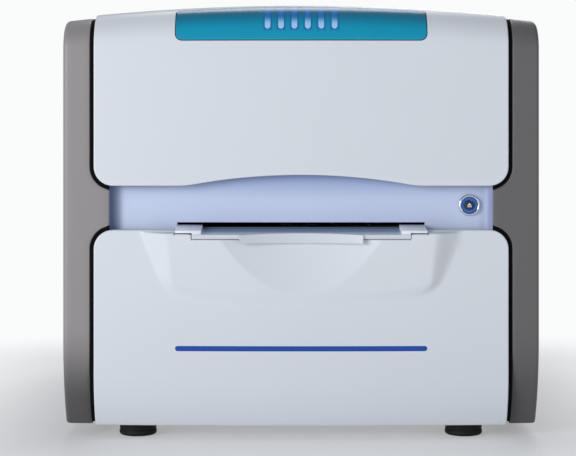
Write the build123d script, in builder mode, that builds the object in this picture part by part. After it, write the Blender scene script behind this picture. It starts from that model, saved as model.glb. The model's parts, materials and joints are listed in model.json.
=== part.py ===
from build123d import *
import os
from math import asin, cos, degrees, radians, sin, sqrt, tan

# Bench-top digital slide scanner. Millimetres, +Z up, the front faces -Y, and the origin is on
# the table under the middle of the machine.

# ---- Overall form -----------------------------------------------------------------------------
overall_width = 401.0        # across the two side panels
overall_depth = 520.0        # tray lip to the backs of the covers
overall_height = 367.0       # table to the crown of the upper cover
shell_bottom = 11.0          # underside of the covers above the table
crown_radius = 1950.0        # arch of the top, from side to side
bow_radius = 3200.0          # bow of the front, from side to side
top_front_radius = 28.0
top_rear_radius = 18.0
chin_rise = 45.0             # height over which the lower cover curls under
chin_depth = 13.0
panel_chin_rise = 72.0       # the same on the side panels, which curl under sooner
panel_chin_depth = 20.0
wall = 3.0                   # moulded covers and side panels
fit_gap = 0.3                # between pieces that are assembled by hand
inlay_gap = 0.1              # round pieces that are let into a cover
bulge_reach = 15.0           # tray lip and bulge in front of the covers
front_y = bulge_reach - overall_depth / 2
rear_y = overall_depth / 2

# ---- Covers, side panels and waist --------------------------------------------------------------
side_panel_width = 23.0
seam = 3.5                   # dark joint between the covers and the side panels
cover_half = overall_width / 2 - side_panel_width - seam
upper_edge = 214.0           # lower edge of the upper cover at its shoulders
arch_half = 96.0             # half the width of the arch in that edge
arch_rise = 9.1
arch_blend = 60.0
lower_edge = 177.0           # upper edge of the lower cover
cover_corner = 16.0
edge_flange = 12.0           # how far the covers' edges turn in behind their faces
tab_reach = 13.0             # how far the side panels' tabs reach in behind the covers' ends
tab_half = cover_half - tab_reach
panel_recess = 2.5           # side panels behind and below the covers
cover_return_y = front_y + 45.0   # behind this the covers' front edges stop
panel_edge_radius = 4.0
waist_lap = 10.0             # waist panel behind the covers' edges, above and below
seal_setback = 3.0
seal_depth = 9.0
seal_gap = 0.2

# ---- Accent window, status lights and stripe ----------------------------------------------------
window_half = 105.0
window_bottom = overall_height - 31.0
window_reach = 17.0          # how far it runs back over the rounded top edge
window_corner = 5.0
light_count = 6
light_pitch = 11.2
light_width = 4.8
light_bottom = overall_height - 21.7
light_top = overall_height - 6.0
board_thickness = 1.6
light_board_half = 98.0
light_board_height = 30.0
stripe_half = 105.5
stripe_height = 4.4
stripe_z = 78.0
stripe_depth = 1.2

# ---- Bulge, scoop and slot ----------------------------------------------------------------------
bulge_top = 174.6
bulge_bottom = 108.6
bulge_side_bottom = 119.0    # its lower edge at its two ends
bulge_half_top = 137.0
bulge_half_bottom = 113.0
bulge_round = 7.0
scoop_radius = 171.0         # finger scoop, hollow in plan with upright walls
scoop_depth = 12.0
slot_half = 105.5
slot_top = 183.5
slot_floor = 169.9
light_seal_height = 14.0
light_seal_depth = 7.0

# ---- Inner structure ----------------------------------------------------------------------------
foot_height = 12.0
foot_radius = 16.0
foot_front_y = front_y + 40.0
foot_rear_y = rear_y - 45.0
base_thickness = 10.0
base_half = cover_half - 9.0
foot_x = base_half - 25.0
base_front = front_y + 23.0
frame_thickness = 3.0
frame_top = overall_height - 29.0
sheet = 2.5                  # rear panel and folded flanges
frame_flange = 12.0
panel_post_radius = 5.0
screw_radius = 1.5
screw_head_radius = 3.2
screw_head_height = 1.8
rear_plane = rear_y - wall - screw_head_height - sheet - 0.2   # inner face of the rear panel
base_top = foot_height + base_thickness

# ---- Eject button -------------------------------------------------------------------------------
button_x = tab_half - 19.0
button_z = 197.5
bezel_radius = 9.0
bezel_bore = 7.0
bezel_proud = 3.0
barrel_radius = 7.4
barrel_length = 24.0
cap_radius = 4.2
cap_proud = 2.8
cap_length = 11.0
button_travel = 2.0
bow_allowance = 0.55         # the waist panel's bow across the bezel and nut

# ---- Drawer: rails, carrier, tray, screw --------------------------------------------------------
carrier_half = 90.6
carrier_bottom = 170.4
carrier_thickness = 3.0
carrier_front = front_y + 17.0
carrier_rear = carrier_front + 168.0
wing_front = carrier_rear - 40.0
wing_half = 124.0
drawer_travel = 125.0
rail_x = 113.0
rail_width = 9.0
rail_height = 8.0
support_width = 10.0
rail_top = 168.0
block_width = 20.0
block_length = 36.0
running_gap = 0.3
tray_front = carrier_front - 1.0
tray_rear = tray_front + 107.0
tray_thickness = 3.2
tray_rim = 2.0
slide_count = 6
slide_pitch = 30.0
slide_width = 26.0
slide_length = 76.0
slide_thickness = 1.0
slide_centre_y = tray_front + 63.0
window_width = 21.0
window_length = 50.0
nose_front = front_y - bulge_reach + 2.0
lip_root_y = front_y - 2.0
nose_half = 104.4
nose_gap = 1.0               # between the tray's nose and the notch it lies in
nose_slope = 7.5             # degrees, down towards the front
nose_edge_z = 173.8
lip_half = 51.0
lip_bottom = 166.6
lip_hollow = 9.0             # hollow of the lip's front in plan
guide_inner = 83.0
guide_height = 3.4
guide_arm = 9.0              # width of the corner guides' two arms
drive_screw_radius = 4.0
thread_gap = 0.05
drawer_screw_x = -135.0
drawer_screw_z = 160.0
bracket_width = 16.0
motor_size = 28.0
motor_length = 32.0

# ---- Moving optics ------------------------------------------------------------------------------
stage_half = 104.0
stage_ear_half = 112.0
stage_front = carrier_rear + 10.0
stage_rear = stage_front + 120.0
stage_bottom = 38.0
stage_thickness = 12.0
stage_rail_x = 85.0
guide_rail_width = 10.0
guide_rail_height = 10.0
guide_block_width = 28.0
guide_block_length = 34.0
stage_travel = 25.0
head_travel = 75.0
head_half = 30.0
head_front = stage_front + 10.0
head_rear = head_front + 100.0
head_thickness = 10.0
column_half = 20.0
column_front = head_front + 25.0
column_rear = column_front + 2 * column_half
arm_half = 20.0
arm_front = slide_centre_y - 24.0
lower_arm_bottom = 100.0
lower_arm_top = 135.0
upper_arm_bottom = 262.0
upper_arm_top = 290.0
condenser_radius = 15.0
condenser_top = 162.0
lamp_radius = 13.0
lamp_height = 20.0
light_bore = 13.0
objective_tip = 184.0
objective_radius = 13.0
objective_tip_radius = 5.0
objective_cone = 12.0
holder_bottom = 226.0
holder_top = 240.0
holder_half = 20.0
hanger_front = slide_centre_y + 30.0
hanger_thickness = 8.0
hanger_bottom = 200.0
focus_rail_width = 10.0
focus_rail_depth = 6.0
focus_block_half = 16.0
focus_block_bottom = 214.0
focus_block_top = 246.0
coil_x = 35.0
coil_radius = 5.0
magnet_size = 18.0
magnet_bottom = 205.0
magnet_top = 233.0
tube_radius = 20.0
tube_height = 22.0
camera_size = 44.0
camera_height = 40.0

# ---- Rear services ------------------------------------------------------------------------------
fan_x = 85.0
fan_z = 250.0
fan_size = 80.0
fan_depth = 25.0
fan_bore = 38.0
fan_hub = 16.0
fan_pin = 2.0
fan_blade_tip = 36.5
fan_screw_spacing = 71.5
service_z = 100.0
inlet_x = -120.0
switch_x = -78.0
network_x = -30.0
data_x = 4.0
socket_flange = 1.5

bow_centre_y = front_y + bow_radius
crown_centre_z = overall_height - crown_radius
base_bottom = foot_height
carrier_top = carrier_bottom + carrier_thickness
stage_top = stage_bottom + stage_thickness
head_rail_top = stage_top + guide_rail_height
head_bottom = head_rail_top + 6.0
head_top = head_bottom + head_thickness
tray_bottom = carrier_top + running_gap
tray_floor = tray_bottom + tray_thickness
rail_bottom = rail_top - rail_height

os.makedirs("parts", exist_ok=True)


def save(piece, name):
    """Label a finished piece and write it as its own file."""
    piece.part.label = name
    export_step(piece.part, "parts/" + name + ".step")


def slab(x, y, z, mode=Mode.ADD):
    """Box between a low and a high value on each axis, in the part being built."""
    with Locations(((x[0] + x[1]) / 2, (y[0] + y[1]) / 2, (z[0] + z[1]) / 2)):
        Box(x[1] - x[0], y[1] - y[0], z[1] - z[0], mode=mode)


def rod(start, end, radius, mode=Mode.ADD):
    """Round bar from one point to another, in the part being built."""
    way = Vector(*end) - Vector(*start)
    with Locations(Plane(origin=start, z_dir=way)):
        Cylinder(radius, way.length, align=(Align.CENTER, Align.CENTER, Align.MIN), mode=mode)


def both_sides(low, high):
    """The same stretch of X on the right and, mirrored, on the left."""
    return ((low, high), (-high, -low))


def face_y(x, inset=0.0):
    """Y of the bowed front at a given X, a depth behind its surface."""
    return bow_centre_y - sqrt((bow_radius - inset) ** 2 - x ** 2)


def crown_z(x, inset=0.0):
    """Z of the arched top at a given X, a depth below its surface."""
    return crown_centre_z + sqrt((crown_radius - inset) ** 2 - x ** 2)


def bow_plane():
    """Upright plane through the bow's axis, turned to the left end of the front."""
    turn = asin((overall_width / 2 + 5) / (bow_radius - overall_depth))
    plane = Plane(
        origin=(0, bow_centre_y, 0),
        x_dir=(sin(turn), cos(turn), 0),
        z_dir=(cos(turn), -sin(turn), 0),
    )
    return plane, 2 * degrees(turn)


def form(inset, rise=chin_rise, depth=chin_depth):
    """The machine's whole outer form, drawn in by an inset on every face but its two sides."""
    plane, sweep_angle = bow_plane()
    front = -(bow_radius - inset)
    far = front + overall_depth + bow_radius / 50
    bottom = shell_bottom + inset
    above = overall_height + crown_radius / 50
    half = overall_width / 2
    with BuildPart() as body:
        with BuildSketch(plane):
            with BuildLine():
                TangentArc((front, shell_bottom + rise), (front + depth, bottom), tangent=(0, -1))
                Polyline(
                    (front + depth, bottom), (far, bottom), (far, above),
                    (front, above), (front, shell_bottom + rise),
                )
            make_face()
        revolve(axis=Axis((0, bow_centre_y, 0), (0, 0, 1)), revolution_arc=sweep_angle)
        with BuildSketch(Plane.XZ.offset(-(rear_y - inset))):
            with BuildLine():
                Polyline((-half, crown_z(half, inset)), (-half, 0), (half, 0), (half, crown_z(half, inset)))
                ThreePointArc(
                    (half, crown_z(half, inset)), (0, crown_z(0, inset)), (-half, crown_z(half, inset))
                )
            make_face()
        extrude(amount=overall_depth + bow_radius / 50, mode=Mode.INTERSECT)
        crown = body.faces().filter_by(GeomType.CYLINDER).sort_by(Axis.Z)[-1]
        fillet(crown.edges().sort_by(Axis.Y)[0], top_front_radius - inset)
        if inset < top_rear_radius:
            crown = body.faces().filter_by(GeomType.CYLINDER).sort_by(Axis.Z)[-1]
            fillet(crown.edges().sort_by(Axis.Y)[-1], top_rear_radius - inset)
    return body.part


def upper_outline(grow=0.0):
    """Front view of the upper cover: arched lower edge, rounded lower corners, open above."""
    half = cover_half + grow
    edge = upper_edge - grow
    above = overall_height + 2 * wall
    with BuildSketch(Plane.XZ) as outline:
        with BuildLine():
            Polyline(
                (-arch_half, edge), (-half, edge), (-half, above),
                (half, above), (half, edge), (arch_half, edge),
            )
            ThreePointArc((arch_half, edge), (0, edge + arch_rise), (-arch_half, edge))
        make_face()
        lowest = outline.vertices().group_by(Axis.Y)[0].sort_by(Axis.X)
        fillet([lowest[0], lowest[-1]], cover_corner + grow)
        fillet(outline.vertices().filter_by_position(Axis.X, -arch_half - 1, -arch_half + 1), arch_blend)
        fillet(outline.vertices().filter_by_position(Axis.X, arch_half - 1, arch_half + 1), arch_blend)
    return outline.sketch


def lower_outline(grow=0.0):
    """Front view of the lower cover: rounded upper corners, open below."""
    half = cover_half + grow
    edge = lower_edge + grow
    with BuildSketch(Plane.XZ) as outline:
        with Locations((0, edge / 2)):
            Rectangle(2 * half, edge)
        fillet(outline.vertices().group_by(Axis.Y)[-1], cover_corner + grow)
    return outline.sketch


def pill_outline(x, z, width, height):
    """Front view of an upright or level bar with round ends."""
    with BuildSketch(Plane.XZ) as outline:
        with Locations((x, z)):
            if height > width:
                SlotOverall(height, width, rotation=90)
            else:
                SlotOverall(width, height)
    return outline.sketch


def window_zone(grow=0.0):
    """Space of the accent window: its front outline, back to its edge on top of the machine."""
    height = overall_height - window_bottom
    with BuildPart() as zone:
        with BuildSketch(Plane.XZ) as outline:
            with Locations((0, window_bottom + height - grow)):
                Rectangle(2 * (window_half + grow), 2 * height)
            fillet(outline.vertices().group_by(Axis.Y)[0], window_corner + grow)
        extrude(amount=overall_depth)
        slab(
            (-overall_width, overall_width), (front_y + window_reach + grow, overall_depth),
            (0, 2 * overall_height), mode=Mode.SUBTRACT,
        )
    return zone.part


def prism(outline, to_the_rear=True):
    """A front outline drawn through the machine, or through its front half only."""
    with BuildPart() as body:
        extrude(outline, amount=overall_depth, both=to_the_rear)
    return body.part


def skin(outer, inner, outline, to_the_rear=True):
    """A layer of the form between two solids, inside a front outline."""
    with BuildPart() as body:
        add(outer)
        add(inner, mode=Mode.SUBTRACT)
        add(prism(outline, to_the_rear), mode=Mode.INTERSECT)
    return body.part


form_outer = form(0.0)
form_inner = form(wall)
form_flange = form(edge_flange)


def edge_band(outline, inner_outline):
    """The turned-in edge of a cover, all round its front outline."""
    with BuildPart() as band:
        add(skin(form_outer, form_flange, outline))
        add(prism(inner_outline), mode=Mode.SUBTRACT)
    return band.part


# ---- Upper cover with its accent window and status lights ---------------------------------------
light_places = [(i - (light_count - 1) / 2) * light_pitch for i in range(light_count)]
light_z = (light_bottom + light_top) / 2
light_height = light_top - light_bottom
rib_x = (base_half - 0.5, base_half + frame_thickness + 0.5)

with BuildPart() as upper_cover:
    add(skin(form_outer, form_inner, upper_outline()))
    add(edge_band(upper_outline(), upper_outline(-wall)))
    add(window_zone(fit_gap), mode=Mode.SUBTRACT)
    slab((-cover_half, cover_half), (cover_return_y, rear_y), (0, frame_top), mode=Mode.SUBTRACT)
    for x in both_sides(*rib_x):
        slab(x, (cover_return_y + 20, foot_rear_y), (frame_top, crown_z(base_half) - wall / 2))
    for x in both_sides(light_board_half - 8, light_board_half - 2):
        slab(x, (face_y(0) + wall / 2, face_y(0) + 10), (window_bottom - 14, window_bottom - 8))
save(upper_cover, "upper_cover")

with BuildPart() as accent_window:
    add(form_outer)
    add(form_inner, mode=Mode.SUBTRACT)
    add(window_zone(), mode=Mode.INTERSECT)
    for x in light_places:
        add(
            prism(pill_outline(x, light_z, light_width + 2 * inlay_gap, light_height + 2 * inlay_gap)),
            mode=Mode.SUBTRACT,
        )
save(accent_window, "accent_window")

with BuildPart() as status_lenses:
    for x in light_places:
        add(skin(form_outer, form_inner, pill_outline(x, light_z, light_width, light_height), False))
save(status_lenses, "status_lenses")

light_board_y = face_y(0) + 10
with BuildPart() as status_light_board:
    slab(
        (-light_board_half, light_board_half),
        (light_board_y, light_board_y + board_thickness),
        (window_bottom - 20, window_bottom - 20 + light_board_height),
    )
    for x in light_places:
        slab((x - 2, x + 2), (light_board_y - 2, light_board_y), (window_bottom, window_bottom + 7))
    slab((60, 80), (light_board_y + board_thickness, light_board_y + 8), (window_bottom - 16, window_bottom - 8))
save(status_light_board, "status_light_board")

# ---- Lower front cover with its bulge, scoop, tray notch and stripe -----------------------------
nose_slope_tan = tan(radians(nose_slope))
scoop_centre_y = front_y - bulge_reach + scoop_depth - scoop_radius


def bulge(draw_in):
    """Forward bulge of the lower cover, drawn in by a wall thickness."""
    plane, sweep_angle = bow_plane()
    front = -bow_radius + draw_in
    back = front + edge_flange
    below = bulge_bottom - wall
    lean = bulge_reach * wall / (bulge_top - bulge_bottom)
    with BuildPart() as body:
        with BuildSketch(plane):
            with BuildLine():
                Polyline(
                    (back, below), (front + lean, below),
                    (front - bulge_reach, bulge_top - draw_in),
                    (back, bulge_top - draw_in), (back, below),
                )
            make_face()
        revolve(axis=Axis((0, bow_centre_y, 0), (0, 0, 1)), revolution_arc=sweep_angle)
        with BuildSketch(Plane.XZ):
            with BuildLine():
                Polyline(
                    (-bulge_half_bottom + draw_in, bulge_side_bottom + draw_in),
                    (-bulge_half_top + draw_in, bulge_top),
                    (bulge_half_top - draw_in, bulge_top),
                    (bulge_half_bottom - draw_in, bulge_side_bottom + draw_in),
                )
                ThreePointArc(
                    (bulge_half_bottom - draw_in, bulge_side_bottom + draw_in),
                    (0, bulge_bottom + draw_in),
                    (-bulge_half_bottom + draw_in, bulge_side_bottom + draw_in),
                )
            make_face()
        extrude(amount=overall_depth, both=True, mode=Mode.INTERSECT)
        if draw_in == 0:
            leaning_face = body.faces().filter_by(GeomType.CONE)[0]
            fillet(leaning_face.edges(), bulge_round)
        rod((0, scoop_centre_y, 0), (0, scoop_centre_y, overall_height), scoop_radius + draw_in,
            mode=Mode.SUBTRACT)
    return body.part


def stripe_layer(grow):
    """The stripe's thin layer of the cover, grown by a clearance."""
    outline = pill_outline(0, stripe_z, 2 * (stripe_half + grow), stripe_height + 2 * grow)
    return skin(form_outer, form(stripe_depth + grow), outline, False)


with BuildPart() as lower_front_cover:
    add(skin(form_outer, form_inner, lower_outline()))
    add(edge_band(lower_outline(), lower_outline(-wall)))
    add(bulge(0.0))
    add(bulge(wall), mode=Mode.SUBTRACT)
    slab(
        (-cover_half, cover_half), (base_front - fit_gap, rear_y), (0, overall_height),
        mode=Mode.SUBTRACT,
    )
    for half, floor in ((carrier_half, slot_floor), (nose_half, bulge_top - wall / 10)):
        slab(
            (-half - nose_gap, half + nose_gap), (-overall_depth, tray_front), (floor, overall_height),
            mode=Mode.SUBTRACT,
        )
    add(stripe_layer(inlay_gap), mode=Mode.SUBTRACT)
    for x in both_sides(*rib_x):
        for z in ((40, 70), (110, 140)):
            slab(x, (face_y(base_half, wall / 2), base_front), z)
save(lower_front_cover, "lower_front_cover")

with BuildPart() as accent_stripe:
    add(stripe_layer(0.0))
save(accent_stripe, "accent_stripe")

# ---- Waist panel and light seal -----------------------------------------------------------------
waist_front = edge_flange + 0.2
waist_low = lower_edge - waist_lap
waist_high = upper_edge + arch_rise + waist_lap
button_y = face_y(button_x, waist_front)

with BuildSketch(Plane.XZ) as waist_outline:
    with Locations((0, (waist_low + waist_high) / 2)):
        Rectangle(2 * (cover_half - wall - fit_gap), waist_high - waist_low)
    with Locations((0, slot_top / 2)):
        Rectangle(2 * slot_half, slot_top, mode=Mode.SUBTRACT)

with BuildPart() as waist_panel:
    add(skin(form(waist_front), form(waist_front + wall), waist_outline.sketch, False))
    rod((button_x, button_y - 5, button_z), (button_x, button_y + 5, button_z), barrel_radius + 0.1,
        mode=Mode.SUBTRACT)
    for x in both_sides(*rib_x):
        slab(x, (face_y(base_half, waist_front + wall / 2), base_front), (185, 205))
save(waist_panel, "waist_panel")

with BuildPart() as light_seal:
    with BuildSketch(Plane.XZ) as seal_outline:
        with Locations((0, slot_top + (1 + light_seal_height) / 2)):
            Rectangle(2 * (slot_half + 4), light_seal_height)
    seal_front = waist_front + wall + fit_gap
    add(skin(form(seal_front), form(seal_front + light_seal_depth), seal_outline.sketch, False))
save(light_seal, "light_seal")

# ---- Side panels and seam seals -----------------------------------------------------------------
panel_outer = form(panel_recess, panel_chin_rise, panel_chin_depth)
panel_inner = form(panel_recess + wall, panel_chin_rise, panel_chin_depth)
panel_behind_tab = form(waist_front - 0.1, panel_chin_rise, panel_chin_depth)
post_places = [(y, z) for y in (front_y + 80, rear_y - 60) for z in (60, frame_top - 38)]


def side_panel(side):
    """Moulded side panel; side is 1 on the right and -1 on the left."""
    half = overall_width / 2
    with BuildSketch(Plane.XZ) as outline:
        with Locations((side * (tab_half + half) / 2, overall_height / 2)):
            Rectangle(half - tab_half, overall_height)
        add(upper_outline(seam), mode=Mode.SUBTRACT)
        add(lower_outline(seam), mode=Mode.SUBTRACT)
    tab_low = lower_edge + seam
    tab_high = upper_edge - seam
    void = sorted((side * (tab_half - wall), side * (half - wall)))
    edge_wall = sorted((side * tab_half, side * (tab_half + wall)))
    with BuildPart() as panel:
        add(panel_outer)
        add(prism(outline.sketch), mode=Mode.INTERSECT)
        outside = panel.faces().sort_by(Axis.X)[-1 if side > 0 else 0]
        fillet(outside.edges(), panel_edge_radius)
        with BuildPart(mode=Mode.PRIVATE) as hollow:
            add(panel_inner)
            slab(void, (-overall_depth, overall_depth), (0, overall_height), mode=Mode.INTERSECT)
        add(hollow.part, mode=Mode.SUBTRACT)
        slab(
            (-cover_half - seam, cover_half + seam), (cover_return_y, rear_y), (0, overall_height),
            mode=Mode.SUBTRACT,
        )
        with BuildPart(mode=Mode.PRIVATE) as tab_edge:
            add(panel_outer)
            add(panel_behind_tab, mode=Mode.SUBTRACT)
            slab(edge_wall, (-overall_depth, 0), (tab_low + 0.5, tab_high - 0.5), mode=Mode.INTERSECT)
        add(tab_edge.part)
        for y, z in post_places:
            rod((side * (base_half + frame_thickness), y, z), (side * (half - wall / 2), y, z),
                panel_post_radius)
    return panel


save(side_panel(-1), "left_side_panel")
save(side_panel(1), "right_side_panel")

with BuildSketch(Plane.XZ) as seal_lines:
    add(upper_outline(seam - seal_gap))
    add(lower_outline(seam - seal_gap))
    add(upper_outline(seal_gap), mode=Mode.SUBTRACT)
    add(lower_outline(seal_gap), mode=Mode.SUBTRACT)
    with Locations((0, overall_height / 2)):
        Rectangle(2 * tab_half, 2 * overall_height, mode=Mode.SUBTRACT)

with BuildPart() as seam_seals:
    add(skin(form(seal_setback), form(seal_setback + seal_depth), seal_lines.sketch))
    slab(
        (-cover_half, cover_half), (cover_return_y, rear_y), (0, overall_height),
        mode=Mode.SUBTRACT,
    )
save(seam_seals, "seam_seals")

# ---- Base plate, inner frames, rear panel, feet -------------------------------------------------
foot_places = [(x, y) for x in (-foot_x, foot_x) for y in (foot_front_y, foot_rear_y)]
foot_screw_radius = 2.5
foot_recess = 6.5

with BuildPart() as base_plate:
    slab((-base_half, base_half), (base_front, rear_plane), (base_bottom, base_top))
    with Locations([(x, y, base_top) for x, y in foot_places]):
        Hole(foot_screw_radius + thread_gap, depth=base_thickness)
    fillet(base_plate.edges().filter_by(Axis.Z).group_by(Axis.Y)[0], 4)
save(base_plate, "base_plate")

panel_screw_x = base_half - frame_flange / 2
panel_screw_places = [(x, z) for x in (-panel_screw_x, panel_screw_x) for z in (40, 135, 230, 322)]

with BuildPart() as inner_frames:
    for x in both_sides(base_half, base_half + frame_thickness):
        slab(x, (base_front, rear_plane), (base_bottom, frame_top))
    for x in both_sides(base_half - frame_flange, base_half):
        slab(x, (rear_plane - sheet, rear_plane), (base_top, frame_top))
    for x, z in panel_screw_places:
        rod((x, rear_plane - 10, z), (x, rear_plane + 5, z), screw_radius + thread_gap,
            mode=Mode.SUBTRACT)
save(inner_frames, "inner_frames")

inlet_size = (28.0, 48.0)
switch_size = (19.5, 13.5)
network_size = (16.5, 14.0)
data_size = (12.5, 12.0)
vent_size = (4.0, 44.0)

with BuildPart() as rear_panel:
    slab(
        (-base_half - frame_thickness, base_half + frame_thickness),
        (rear_plane, rear_plane + sheet), (base_bottom, frame_top + 4),
    )
    rod((fan_x, rear_plane - 1, fan_z), (fan_x, rear_y, fan_z), fan_bore, mode=Mode.SUBTRACT)
    for x, size in ((inlet_x, inlet_size), (switch_x, switch_size), (network_x, network_size), (data_x, data_size)):
        slab(
            (x - size[0] / 2, x + size[0] / 2), (rear_plane - 1, rear_y),
            (service_z - size[1] / 2, service_z + size[1] / 2), mode=Mode.SUBTRACT,
        )
    for row_z in (190, 250, 310):
        for i in range(12):
            x = -130 + 10 * i
            slab(
                (x - vent_size[0] / 2, x + vent_size[0] / 2), (rear_plane - 1, rear_y),
                (row_z - vent_size[1] / 2, row_z + vent_size[1] / 2), mode=Mode.SUBTRACT,
            )
    for x, z in panel_screw_places:
        rod((x, rear_plane - 1, z), (x, rear_y, z), screw_radius + thread_gap, mode=Mode.SUBTRACT)
save(rear_panel, "rear_panel")

with BuildPart() as panel_screws:
    head_y = rear_plane + sheet
    for x, z in panel_screw_places:
        rod((x, rear_plane - 6, z), (x, head_y, z), screw_radius)
        rod((x, head_y, z), (x, head_y + screw_head_height, z), screw_head_radius)
save(panel_screws, "panel_screws")

with BuildPart() as rubber_feet:
    for x, y in foot_places:
        with Locations((x, y, foot_height / 2)):
            Cylinder(foot_radius, foot_height)
    fillet(rubber_feet.edges().group_by(Axis.Z)[0], 3)
    for x, y in foot_places:
        rod((x, y, -1), (x, y, foot_recess), 7, mode=Mode.SUBTRACT)
        rod((x, y, 0), (x, y, foot_height + 1), foot_screw_radius + thread_gap, mode=Mode.SUBTRACT)
save(rubber_feet, "rubber_feet")

with BuildPart() as foot_screws:
    for x, y in foot_places:
        rod((x, y, 2), (x, y, foot_recess), 5)
        rod((x, y, foot_recess), (x, y, base_top - 1), foot_screw_radius)
save(foot_screws, "foot_screws")

# ---- Eject button -------------------------------------------------------------------------------


def at_button(depth):
    """Point on the eject button's axis, a depth behind the waist panel's face."""
    return (button_x, button_y + depth, button_z)


with BuildPart() as button_bezel:
    rod(at_button(-bezel_proud), at_button(-bow_allowance), bezel_radius)
    fillet(button_bezel.edges().group_by(Axis.Y)[0], 1.2)
    rod(at_button(-bezel_proud - 1), at_button(1), bezel_bore, mode=Mode.SUBTRACT)
save(button_bezel, "button_bezel")

with BuildPart() as button_light_ring:
    rod(at_button(-2.4), at_button(0), bezel_bore - 0.1)
    rod(at_button(-3), at_button(1), cap_radius + fit_gap, mode=Mode.SUBTRACT)
save(button_light_ring, "button_light_ring")

with BuildPart() as button_body:
    rod(at_button(0), at_button(barrel_length), barrel_radius)
    rod(at_button(-1), at_button(cap_length), cap_radius + fit_gap, mode=Mode.SUBTRACT)
    for shift in (-3, 3):
        slab(
            (button_x + shift - 1.2, button_x + shift + 1.2),
            (button_y + barrel_length, button_y + barrel_length + 6),
            (button_z - 0.4, button_z + 0.4),
        )
save(button_body, "button_body")

with BuildPart() as button_nut:
    with BuildSketch(Plane.XZ.offset(-(button_y + wall + bow_allowance))):
        with Locations((button_x, button_z)):
            RegularPolygon(10.5, 6)
            Circle(barrel_radius + thread_gap, mode=Mode.SUBTRACT)
    extrude(amount=-4)
save(button_nut, "button_nut")

with BuildPart() as button_cap:
    rod(at_button(-cap_proud), at_button(cap_length - cap_proud - 0.5), cap_radius)
    fillet(button_cap.edges().group_by(Axis.Y)[0], 0.6)
save(button_cap, "button_cap")

# ---- Drawer rails and their supports ------------------------------------------------------------
drawer_rail_y = (carrier_front + 4, carrier_rear + 6)

with BuildPart() as rail_supports:
    for x in both_sides(rail_x - support_width / 2, rail_x + support_width / 2):
        slab(x, (base_front, drawer_rail_y[1]), (base_top, rail_bottom))
save(rail_supports, "rail_supports")

with BuildPart() as drawer_rails:
    for x in both_sides(rail_x - rail_width / 2, rail_x + rail_width / 2):
        slab(x, drawer_rail_y, (rail_bottom, rail_top))
save(drawer_rails, "drawer_rails")

block_y = (wing_front + 2, wing_front + 2 + block_length)
with BuildPart() as carrier_blocks:
    for x in both_sides(rail_x - block_width / 2, rail_x + block_width / 2):
        slab(x, block_y, (rail_bottom + 2, carrier_bottom))
    for x in both_sides(rail_x - rail_width / 2 - running_gap, rail_x + rail_width / 2 + running_gap):
        slab(x, (-overall_depth, 0), (0, rail_top + running_gap), mode=Mode.SUBTRACT)
save(carrier_blocks, "carrier_blocks")

slide_places = [(i - (slide_count - 1) / 2) * slide_pitch for i in range(slide_count)]
nut_y = (carrier_rear - 22, carrier_rear - 4)
nut_x = (drawer_screw_x - bracket_width / 2, drawer_screw_x + bracket_width / 2)

with BuildPart() as tray_carrier:
    slab((-carrier_half, carrier_half), (carrier_front, carrier_rear), (carrier_bottom, carrier_top))
    slab((nut_x[0], wing_half), (wing_front, carrier_rear), (carrier_bottom, carrier_top))
    for x in slide_places:
        slab(
            (x - window_width / 2, x + window_width / 2),
            (slide_centre_y - window_length / 2, slide_centre_y + window_length / 2),
            (carrier_bottom - 1, carrier_top + 1), mode=Mode.SUBTRACT,
        )
    slab(nut_x, nut_y, (drawer_screw_z - 8, carrier_bottom))
    rod((drawer_screw_x, nut_y[0] - 1, drawer_screw_z), (drawer_screw_x, nut_y[1] + 1, drawer_screw_z),
        drive_screw_radius + thread_gap, mode=Mode.SUBTRACT)
save(tray_carrier, "tray_carrier")

# ---- Slide tray: plate, sloping nose, finger lip, corner guides, slides -------------------------


def nose_top(y, rise=0.0):
    """Height of the sloping nose at a given Y."""
    return nose_edge_z + rise + (y - nose_front) * nose_slope_tan


def nose_wedge(low, rise):
    """Block under the nose's sloping plane, from a level underside."""
    span = (front_y - bulge_reach, tray_front)
    with BuildPart() as wedge:
        with BuildSketch(Plane.YZ):
            Polygon(
                (span[0], low), (span[1], low),
                (span[1], nose_top(span[1], rise)), (span[0], nose_top(span[0], rise)), align=None,
            )
        extrude(amount=overall_width, both=True)
    return wedge.part


lip_end_y = front_y - bulge_reach
with BuildSketch(Plane.XY) as lip_outline:
    with BuildLine():
        ThreePointArc((-lip_half, lip_end_y), (0, lip_end_y + lip_hollow), (lip_half, lip_end_y))
        Polyline(
            (lip_half, lip_end_y), (lip_half, lip_root_y + 4), (-lip_half, lip_root_y + 4),
            (-lip_half, lip_end_y),
        )
    make_face()

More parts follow.
